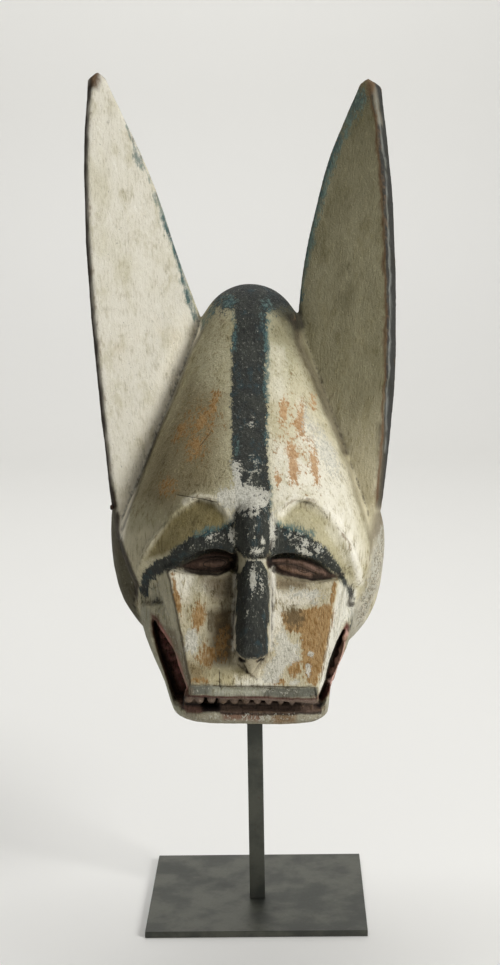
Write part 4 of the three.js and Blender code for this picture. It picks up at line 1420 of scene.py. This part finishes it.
    def _detailed(self, skin: Skin) -> np.ndarray:
        """Which points lie on the finely carved face, where the mesh stays fine.

        Args:
            skin: The mask's surface.

        Returns:
            True for those points.
        """
        pixels = self.view.project(skin.points * MM)
        own = self.seat.own(skin.points * MM)
        left, top, right, low = self.fine_window
        seen = (pixels[:, 0] > left) & (pixels[:, 0] < right) & (pixels[:, 1] > top) & (pixels[:, 1] < low)
        return seen & (own[:, 1] < self.fine_depth) & (self._facing(skin, skin.normals()) > -0.1)

    def _carve(self, skin: Skin) -> None:
        """Cuts the lids' arches, nostrils, eyes' rings and chips where the photograph shows them.

        Args:
            skin: The mask's surface.
        """
        normals = skin.smooth(skin.normals(), 3)
        pixels = self.view.project(skin.points * MM)
        own = self.seat.own(skin.points * MM)
        front = (step_between(self._facing(skin, normals), *self.carved_facing)
                 * step_between(own[:, 1], *self.carved_depth))
        height = sum(mark.height(pixels) for mark in RELIEF)
        skin.points = skin.points + normals * (height * front)[:, None]

    def _tool_marks(self, skin: Skin, nearness: np.ndarray) -> None:
        """Adds the marks of adze and knife, and the edges' chips.

        Args:
            skin: The mask's surface.
            nearness: Each point's distance to a sharp outward edge.
        """
        own = self.seat.own(skin.points * MM)
        normals = skin.normals()
        inside = self._inside_share(skin, own)
        grain = Grain(self.seed)
        swell = sum(height * grain.at(own + shift, size) for height, size, shift in self.swells)
        gouge = np.abs(grain.at(own + 90, self.gouge_size))
        depth = (1.0 - inside) * swell - inside * (self.gouge_depth * (0.5 - gouge))
        edge = step_between(nearness, *self.edge_reach)
        chips = step_between(grain.layered(own + 140, self.chip_size), 0.34, 0.62) * edge
        rubbed = edge * self.edge_wear * np.abs(grain.at(own + 200, self.edge_size))
        depth -= self.chip_depth * chips + rubbed
        skin.points = skin.points + normals * depth[:, None]

    def _inside_share(self, skin: Skin, own: np.ndarray) -> np.ndarray:
        """1 in the hollow and 0 outside, found by what is seen from the hollow's middle line.

        Args:
            skin: The mask's surface.
            own: Its points in the mask's own frame.

        Returns:
            A softened share for each point.
        """
        tree = skin.tree(own)
        across, back = self.middle_line
        floor, ceiling = self.middle_heights
        seen = np.zeros(skin.count)
        for index in np.nonzero((own[:, 2] < self.hollow_top) & (own[:, 1] > self.hollow_front))[0]:
            spot = Vector(own[index])
            eye = Vector((across, back, min(max(spot.z, floor), ceiling)))
            sight = spot - eye
            hit = tree.ray_cast(eye, sight, sight.length - self.stop_short)
            seen[index] = 1.0 if hit[0] is None else 0.0
        return np.clip(skin.smooth(seen, 4), 0.0, 1.0)

    def _in_view(self, skin: Skin, normals: np.ndarray, facing: np.ndarray) -> np.ndarray:
        """How far the front's paint reaches, which leaves out what another part of the mask hides.

        Args:
            skin: The mask's surface.
            normals: Its normals.
            facing: How squarely each point faces the photograph's camera.

        Returns:
            1 where the camera sees the surface, and the nearest such share where it is turned away.
        """
        tree = skin.tree(skin.points)
        eye = Vector(self.view.place) / MM
        turned_to = facing > self.edge_on
        seen = np.zeros(skin.count)
        for index in np.nonzero(turned_to)[0]:
            start = Vector(skin.points[index] + normals[index] * self.clearance)
            seen[index] = 1.0 if tree.ray_cast(start, eye - start)[0] is None else 0.0
        weight = np.where(turned_to, 1.0, self.reach_weight)
        share = skin.smooth(seen * weight, self.reach_rounds) / skin.smooth(weight, self.reach_rounds)
        share = np.where(seen > 0.5, 1.0, share)
        return np.clip(skin.smooth(share, 2) * self.reach_gain, 0.0, 1.0)

    def _paint(self, skin: Skin) -> None:
        """Works out the coats of paint and the wear, and keeps them on the mesh.

        Args:
            skin: The finished surface.
        """
        own = self.seat.own(skin.points * MM)
        normals = skin.normals()
        pixels = self.view.project(skin.points * MM)
        facing = self._facing(skin, normals)
        inside = self._inside_share(skin, own)
        high = step_between(own[:, 2], *self.high_part)
        front = (step_between(facing, *self.low_wrap) * (1.0 - high)
                 + step_between(facing, *self.high_wrap) * high)
        front *= (1.0 - inside) * self._in_view(skin, normals, facing)
        evened = skin.smooth(skin.points, self.cavity_rounds)
        cavity = np.sum((evened - skin.points) * normals, axis=1)
        broad = skin.smooth(skin.points, self.dell_rounds)
        dell = skin.smooth(np.sum((broad - skin.points) * normals, axis=1), 4)
        grain = Grain(self.seed + 2)
        shaken = [grain.layered(own + shift, self.tear_size) for shift in (0, 400)]
        ragged = pixels + self.tear * np.stack(shaken, axis=1)
        for coat, marks in PAINT.items():
            self._keep(skin, coat, np.maximum.reduce([mark.cover(ragged) for mark in marks]) * front)
        crack, near = self._splits(pixels)
        for name, values in (("crack", crack), ("crack_near", near * front), ("inside", inside),
                             ("front", front), ("worn", self._head_share(own, pixels)),
                             ("cavity", np.clip(cavity, -self.deepest, self.deepest)),
                             ("dell", np.clip(dell, -self.deepest, self.deepest))):
            self._keep(skin, name, values)
        self._keep_colour(skin, "ground", self._ground(own, pixels, ragged, front, inside))

    def _splits(self, pixels: np.ndarray) -> tuple[np.ndarray, np.ndarray]:
        """Where the cracks and the eyes' rings run.

        Args:
            pixels: Pixel coordinates of the points.

        Returns:
            The distance to the nearest one in its own half widths, and how near it is.
        """
        crack, near = np.full(len(pixels), self.far_off), np.full(len(pixels), self.far_off)
        for split in SPLITS:
            signed, plain = line_depth(pixels, split.line)
            crack = np.where(plain < near, signed / split.half_width, crack)
            near = np.minimum(near, plain)
        return np.clip(crack, -self.far_off, self.far_off), step_between(near, 4.0, 2.0)

    def _ear_shares(self, own: np.ndarray, pixels: np.ndarray) -> tuple[np.ndarray, np.ndarray]:
        """How much of the left and of the right ear each point is.

        Args:
            own: Points in the mask's frame.
            pixels: Their pixel coordinates.

        Returns:
            The two shares for each point.
        """
        above = step_between(own[:, 2], *self.ear_base)
        return (step_between(beside_line(pixels, EAR_LEFT_EDGE), 1.5, -1.5) * above,
                step_between(beside_line(pixels, EAR_RIGHT_EDGE), -1.5, 1.5) * above)

    def _head_share(self, own: np.ndarray, pixels: np.ndarray) -> np.ndarray:
        """1 on the head, more on the muzzle and less on the ears, whose paint is smoother."""
        left, right = self._ear_shares(own, pixels)
        return 1.0 - 0.8 * np.maximum(left, right) + 0.5 * step_between(pixels[:, 1], 560.0, 590.0)

    def _ground(self, own: np.ndarray, pixels: np.ndarray, ragged: np.ndarray, front: np.ndarray,
                inside: np.ndarray) -> np.ndarray:
        """The colour that lies under the sharper coats.

        Args:
            own: Points in the mask's frame.
            pixels: Their pixel coordinates.
            ragged: The same coordinates, shaken a little for hand-laid edges.
            front: How much each faces the viewer.
            inside: How much each is in the hollow.

        Returns:
            A linear colour for each point.
        """
        down = pixels[:, 1]
        cloud = Grain(self.seed + 5).layered(own / np.array((1.0, 1.0, 1.8)), 22.0, 5)
        guides = {"cloud": cloud, "down": down}
        left_ear, right_ear = self._ear_shares(own, pixels)
        colour = np.tile(np.array(CREAM), (len(own), 1))
        on_head = (1.0 - left_ear) * (1.0 - right_ear)
        for wash in WASHES:
            colour = lay(colour, wash.tone, wash.share(ragged, front) * on_head)
        left_tone = self._layered_tone(EAR_LEFT_TONE, EAR_LEFT_LAYERS, guides)
        # Painted light: the left ear made paler beside the dome, to offset the shadow that the dome casts
        # there.
        painted_light_beside_dome = step_between(beside_line(pixels, EAR_LEFT_EDGE), -34.0, -6.0)
        left_tone = lay(left_tone, EAR_LEFT_PAINTED_LIGHT, painted_light_beside_dome * step_between(down, 300.0, 340.0))
        colour += left_ear[:, None] * (left_tone - colour)
        colour += right_ear[:, None] * (self._layered_tone(EAR_RIGHT_TONE, EAR_RIGHT_LAYERS, guides) - colour)
        corner = step_between(beside_line(pixels, CORNER_RIGHT), -1.0, 1.5)
        colour = lay(colour, EAR_CORNER_TONE, corner * step_between(down, 514.0, 502.0) * right_ear)
        for wash in FLANGES:
            colour = lay(colour, wash.tone, wash.share(ragged, front))
        for rub in RUBS:
            colour = lay(colour, rub.tone, rub.share(ragged))
        return lay(lay(colour, BARE_BACK, 1.0 - front), BARE_HOLLOW, inside)

    @staticmethod
    def _layered_tone(tone: Colour, layers: Sequence[EarLayer], guides: dict[str, np.ndarray]) -> np.ndarray:
        """An ear's plain tone with its layers laid over it.

        Args:
            tone: The plain tone.
            layers: What takes over, from the lowest up.
            guides: The values by which each layer takes over.

        Returns:
            A linear colour for each point.
        """
        colour = np.tile(np.array(tone), (len(guides["down"]), 1))
        for layer in layers:
            share = step_between(guides[layer.guide], layer.start, layer.full)
            colour = lay(colour, layer.tone, share * layer.strength)
        return colour

    @staticmethod
    def _keep(skin: Skin, name: str, values: np.ndarray) -> None:
        """Stores one number a vertex on the mesh."""
        made = skin.mesh.attributes.new(name, "FLOAT", "POINT")
        made.data.foreach_set("value", np.ascontiguousarray(values, dtype=np.float32))

    @staticmethod
    def _keep_colour(skin: Skin, name: str, colours: np.ndarray) -> None:
        """Stores one colour a vertex on the mesh.

        Args:
            skin: The surface.
            name: The attribute's name.
            colours: Linear colours as rows.
        """
        made = skin.mesh.attributes.new(name, "FLOAT_COLOR", "POINT")
        flat = np.concatenate((colours, np.ones((skin.count, 1))), axis=1)
        made.data.foreach_set("color", flat.astype(np.float32).ravel())


@dataclass(frozen=True)
class PaintedWood:
    """Matte old paint in cream and blue-black, worn through to ochre wood."""

    blue: Colour = linear(22, 26, 27)
    blue_worn: Colour = linear(52, 55, 50)
    blue_green: Colour = linear(42, 68, 74)
    blue_pale: Colour = linear(116, 120, 112)
    blue_thin: Colour = linear(98, 98, 78)
    white: Colour = linear(216, 213, 199)
    white_grey: Colour = linear(164, 161, 144)
    scuffed: Colour = linear(186, 183, 168)
    ochre: Colour = linear(194, 154, 108)
    ochre_deep: Colour = linear(164, 120, 74)
    gold: Colour = linear(172, 138, 90)
    gold_deep: Colour = linear(136, 98, 48)
    brown: Colour = linear(92, 80, 58)
    teal: Colour = linear(46, 80, 86)
    teal_pale: Colour = linear(96, 124, 118)
    under: Colour = linear(84, 78, 62)
    # Dark dirt, also laid as painted shade in the hollows.
    soil_and_shade: Colour = linear(44, 36, 28)
    bare: Colour = linear(120, 98, 74)
    old_white: Colour = linear(168, 160, 140)
    aged: Colour = linear(206, 201, 174)
    brushed: Colour = linear(178, 168, 136)
    mottled: Colour = linear(140, 130, 102)
    flecked: Colour = (1.0, 1.0, 0.97)
    relief_depth: float = 0.9
    specular: float = 0.25

    def build(self) -> bpy.types.Material:
        """Makes the material.

        Returns:
            The material.
        """
        box = Paintbox("painted_wood")
        pit = box.noise((1.0, 1.0, 1.2), 3.0, 0.6).spread()
        flake = box.noise((2.8, 2.8, 3.8), 3.0, 0.6, 11.0).spread()
        brush = box.noise((1.3, 1.3, 15.0), 4.0, 0.6, 3.0).spread()
        patchy = box.noise((9.0, 9.0, 15.0), 6.0, 0.68, 7.0).spread()
        film = box.noise((16.0, 16.0, 30.0), 6.0, 0.7, 23.0).spread()
        ragged = patchy * 0.24 + brush * 0.22 + flake * 0.18 + pit * 0.10
        crumbled = patchy * 0.20 + flake * 0.30 + pit * 0.24
        worn = box.attribute("worn")
        front = box.attribute("front")
        cavity = box.attribute("cavity")
        colour: Shade = box.attribute("ground", "Color")
        colour = box.mix((film + flake * 0.3).rise(-0.1, 1.0) * 0.5, colour, self.aged, "MULTIPLY")
        colour = box.mix((brush + patchy * 0.6).rise(0.0, 1.1) * (worn * 0.4 + 0.25), colour,
                         self.brushed, "MULTIPLY")
        colour = box.mix((patchy * 0.7 + flake * 0.6 + pit * 0.5).rise(0.2, 1.3) * worn * 0.55, colour,
                         self.mottled, "MULTIPLY")
        flecks = (flake * 0.6 + pit * 0.5 - patchy * 0.6).rise(0.3, 1.0)
        colour = box.mix(flecks * (worn * 0.3 + 0.3) * front, colour, self.flecked, "SOFT_LIGHT")
        coats = {name: box.attribute(name) for name in PAINT}
        ochre = box.mix((brush + patchy * 0.4).rise(-0.6, 0.8), self.ochre, self.ochre_deep)
        gold = box.mix((brush + flake * 0.4).rise(-0.5, 0.9), self.gold, self.gold_deep)
        blue = box.mix((film * 0.8 + flake * 0.5).rise(-0.7, 0.9), self.blue, self.blue_worn)
        blue = box.mix((patchy * 0.8 - film * 0.6).rise(0.1, 0.9) * 0.7, blue, self.blue_green)
        blue = box.mix((brush + pit * 0.3 - patchy * 0.3).rise(0.35, 1.05) * 0.5, blue, self.blue_pale)
        blue = box.mix((flake * 0.8 + pit * 0.7).rise(0.9, 1.25) * 0.5, blue, self.white)
        teal = box.mix((brush + flake).rise(-0.5, 0.9), self.teal, self.teal_pale)
        white = box.mix((flake + pit).rise(-0.2, 1.0) * 0.8, self.white, self.white_grey)
        scuff = box.mix((flake * 0.7 + patchy * 0.5).rise(-0.15, 0.35), self.under, self.scuffed)
        haze = (coats["blue"] + ragged * 0.5).rise(0.12, 0.5) * 0.4
        for name, shade, tear, share, low, high in (
                ("ochre", ochre, ragged, 0.85, 0.34, 0.64), ("gold", gold, ragged, 0.92, 0.32, 0.66),
                ("brown", self.brown, ragged, 0.75, 0.30, 0.80), ("blue", blue, ragged, 0.97, 0.38, 0.60),
                ("teal", teal, ragged, 0.7, 0.28, 0.84), ("white", white, crumbled, 0.86, 0.42, 0.64),
                ("scuff", scuff, crumbled, 0.85, 0.40, 0.68)):
            if name == "blue":
                colour = box.mix(haze, colour, self.blue_thin)
            coat = coats[name]
            colour = box.mix((coat + tear).rise(low, high) * share * coat.rise(0.03, 0.18), colour, shade)
        outside = 1.0 - box.attribute("inside")
        remains = (patchy * 0.7 + brush * 0.5).rise(0.1, 0.7) * (1.0 - front) * outside
        colour = box.mix(remains * 0.5, colour, self.old_white)
        wear = (cavity * -1.0 + patchy * 0.22).rise(0.24, 0.5) * 0.5
        colour = box.mix(wear * front * (1.0 - coats["blue"] * 0.9), colour, self.bare)
        # Darkens the hollows: dirt lodged there, and painted shade.
        hollow_shade_and_soil = (cavity + ragged * 0.4).rise(0.10, 0.5) * 0.6
        colour = box.mix(hollow_shade_and_soil, colour, self.soil_and_shade)
        # Darkens broad hollows on the head: dirt settled there, and painted shade.
        dell_shade_and_soil = (box.attribute("dell") + ragged * 0.8).rise(0.2, 1.6)
        colour = box.mix(dell_shade_and_soil * (worn * 0.45), colour, self.soil_and_shade)
        specks = (pit + flake * 0.6).rise(-0.9, -1.3) * 0.45
        colour = box.mix(specks, colour, self.soil_and_shade)
        split = abs(box.attribute("crack")).rise(1.2, 0.4) * box.attribute("crack_near") * 0.75
        colour = box.mix(split, colour, self.soil_and_shade)
        gloss = 0.76 - pit * 0.1 - coats["blue"].rise(0.3, 0.7) * 0.12
        coarse = brush * 0.13 + pit * 0.13 + flake * 0.14 + patchy * 0.14
        relief = coarse * (worn * 0.7 + 0.6) - split * 0.5
        return box.finish(colour, gloss, 0.0, relief, self.relief_depth, self.specular)


@dataclass(frozen=True)
class DarkSteel:
    """Patinated steel with a satin face and rubbed edges."""

    tone: Colour = linear(84, 85, 76)
    darker: Colour = linear(64, 66, 60)
    warm: Colour = linear(72, 58, 42)
    metallic: float = 0.55
    speck_depth: float = 0.05

    def build(self) -> bpy.types.Material:
        """Makes the material.

        Returns:
            The material.
        """
        box = Paintbox("dark_steel")
        cloud = box.noise((30.0, 30.0, 30.0), 4.0, 0.6)
        speck = box.noise((1.6, 1.6, 1.6), 3.0, 0.6, 5.0)
        colour = box.mix(cloud.rise(0.4, 0.62), self.tone, self.darker)
        colour = box.mix(speck.rise(0.58, 0.72) * 0.4, colour, self.warm)
        gloss = 0.36 + cloud * 0.2 + (speck - 0.5) * 0.1
        return box.finish(colour, gloss, self.metallic, speck, self.speck_depth)


@dataclass(frozen=True)
class RustedIron:
    """The nail's old iron."""

    dark: Colour = linear(34, 28, 25)
    rust: Colour = linear(84, 54, 36)
    metallic: float = 0.3
    speck_depth: float = 0.08

    def build(self) -> bpy.types.Material:
        """Makes the material.

        Returns:
            The material.
        """
        box = Paintbox("iron_nail")
        speck = box.noise((0.6, 0.6, 0.6), 3.0, 0.6)
        colour = box.mix(speck.rise(0.45, 0.6), self.dark, self.rust)
        return box.finish(colour, 0.6 + speck * 0.3, self.metallic, speck, self.speck_depth)


@dataclass
class SteelStand:
    """The square post and its square foot."""

    edge: float = 0.5
    foot_edge: float = 0.6

    def build(self) -> list[bpy.types.Object]:
        """Makes the post and the base plate.

        Returns:
            The two pieces.
        """
        steel = DarkSteel().build()
        made = []
        for node, name, edge in (("stand_post", "square_post", self.edge),
                                 ("stand_base_plate", "base_plate", self.foot_edge)):
            piece = new_object(name, self._bar(node, edge))
            piece.data.materials.append(steel)
            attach(piece, "root")
            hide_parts(node)
            made.append(piece)
        return made

    @staticmethod
    def _bar(node: str, edge: float) -> bpy.types.Mesh:
        """A bar with eased edges in the place of a CAD node.

        Args:
            node: The node's name.
            edge: The width of the eased edge in millimetres.

        Returns:
            The mesh.
        """
        low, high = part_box(node)
        shape = bmesh.new()
        bmesh.ops.create_cube(shape, size=1.0)
        bmesh.ops.scale(shape, vec=high - low, verts=shape.verts)
        bmesh.ops.translate(shape, vec=(low + high) / 2, verts=shape.verts)
        bmesh.ops.bevel(shape, geom=shape.edges[:], offset=edge * MM, segments=3, profile=0.5,
                        affect="EDGES", material=-1)
        for face in shape.faces:
            face.smooth = False
        mesh = bpy.data.meshes.new(node + "_bar")
        shape.to_mesh(mesh)
        shape.free()
        return mesh


@dataclass(frozen=True)
class Lamp:
    """A soft square light: where it stands, its side in metres, its power in watts and what it looks at."""

    name: str
    place: tuple[float, float, float]
    size: float
    power: float
    target: tuple[float, float, float] = (0.0, 0.0, 0.38)

    def build(self) -> None:
        """Hangs the lamp."""
        data = bpy.data.lights.new(self.name, "AREA")
        data.size = self.size
        data.energy = self.power
        light = bpy.data.objects.new(self.name, data)
        aim = Vector(self.target) - Vector(self.place)
        turn = aim.to_track_quat("-Z", "Y").to_matrix().to_4x4()
        light.matrix_world = Matrix.Translation(self.place) @ turn
        bpy.context.scene.collection.objects.link(light)


@dataclass
class Studio:
    """The pale floor and backdrop, and the soft light."""

    half_width: float = 5.0
    front: float = -4.5
    cove_start: float = 2.5
    cove_radius: float = 0.8
    height: float = 3.0
    paper: Colour = linear(243, 242, 238)
    paper_roughness: float = 0.55
    room_colour: Colour = (1.0, 0.99, 0.97)
    room_strength: float = 0.09
    lamps: tuple[Lamp, ...] = (
        Lamp("key", (1.36, -1.22, 1.0), 0.7, 29.8), Lamp("fill", (-1.5, -1.6, 0.8), 1.4, 0.4),
        Lamp("backdrop_light", (-0.2, 1.0, 2.8), 2.6, 65.0, (-0.2, 2.7, 0.3)))

    def build(self) -> None:
        """Makes the floor, the lights and the world."""
        self._cove()
        for lamp in self.lamps:
            lamp.build()
        world = bpy.data.worlds.new("pale_room")
        world.use_nodes = True
        air = world.node_tree.nodes["Background"].inputs
        air["Color"].default_value = (*self.room_colour, 1.0)
        air["Strength"].default_value = self.room_strength
        bpy.context.scene.world = world
        bpy.context.scene.view_settings.view_transform = "Standard"

    def _cove(self) -> None:
        """A floor that curves up into the backdrop."""
        shape = bmesh.new()
        corner = (shape.verts.new((-self.half_width, self.front, 0.0)),
                  shape.verts.new((self.half_width, self.front, 0.0)))
        edge = shape.edges.new(corner)
        strip = bmesh.ops.extrude_edge_only(shape, edges=[edge])["geom"]
        bmesh.ops.translate(shape, vec=(0.0, self.cove_start - self.front, 0.0),
                            verts=[item for item in strip if isinstance(item, bmesh.types.BMVert)])
        far = [item for item in strip if isinstance(item, bmesh.types.BMEdge)
               and all(vert.co.y > self.cove_start - MM for vert in item.verts)]
        spun = bmesh.ops.spin(shape, geom=far, cent=(0.0, self.cove_start, self.cove_radius),
                              axis=(1.0, 0.0, 0.0), dvec=(0.0, 0.0, 0.0), angle=math.pi / 2, steps=24)
        last = [item for item in spun["geom_last"] if isinstance(item, bmesh.types.BMEdge)]
        wall = bmesh.ops.extrude_edge_only(shape, edges=last)["geom"]
        bmesh.ops.translate(shape, vec=(0.0, 0.0, self.height),
                            verts=[item for item in wall if isinstance(item, bmesh.types.BMVert)])
        for face in shape.faces:
            face.smooth = True
        mesh = bpy.data.meshes.new("paper_cove")
        shape.to_mesh(mesh)
        shape.free()
        box = Paintbox("paper")
        mesh.materials.append(box.finish(self.paper, self.paper_roughness))
        new_object("paper_cove", mesh)


def main() -> None:
    """Builds the scene piece by piece."""
    logging.basicConfig(level=logging.INFO, format="%(message)s")
    PhotoView().build()
    Studio().build()
    mask = HelmetMask().build()
    log.info("%s: %d triangles", mask.name, sum(len(p.vertices) - 2 for p in mask.data.polygons))
    for piece in SteelStand().build():
        log.info("%s: %d faces", piece.name, len(piece.data.polygons))
    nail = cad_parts["temple_nail"]
    nail.data.materials.clear()
    nail.data.materials.append(RustedIron().build())
    log.info("%s: kept from the frame", nail.name)


if __name__ == "__main__":
    main()
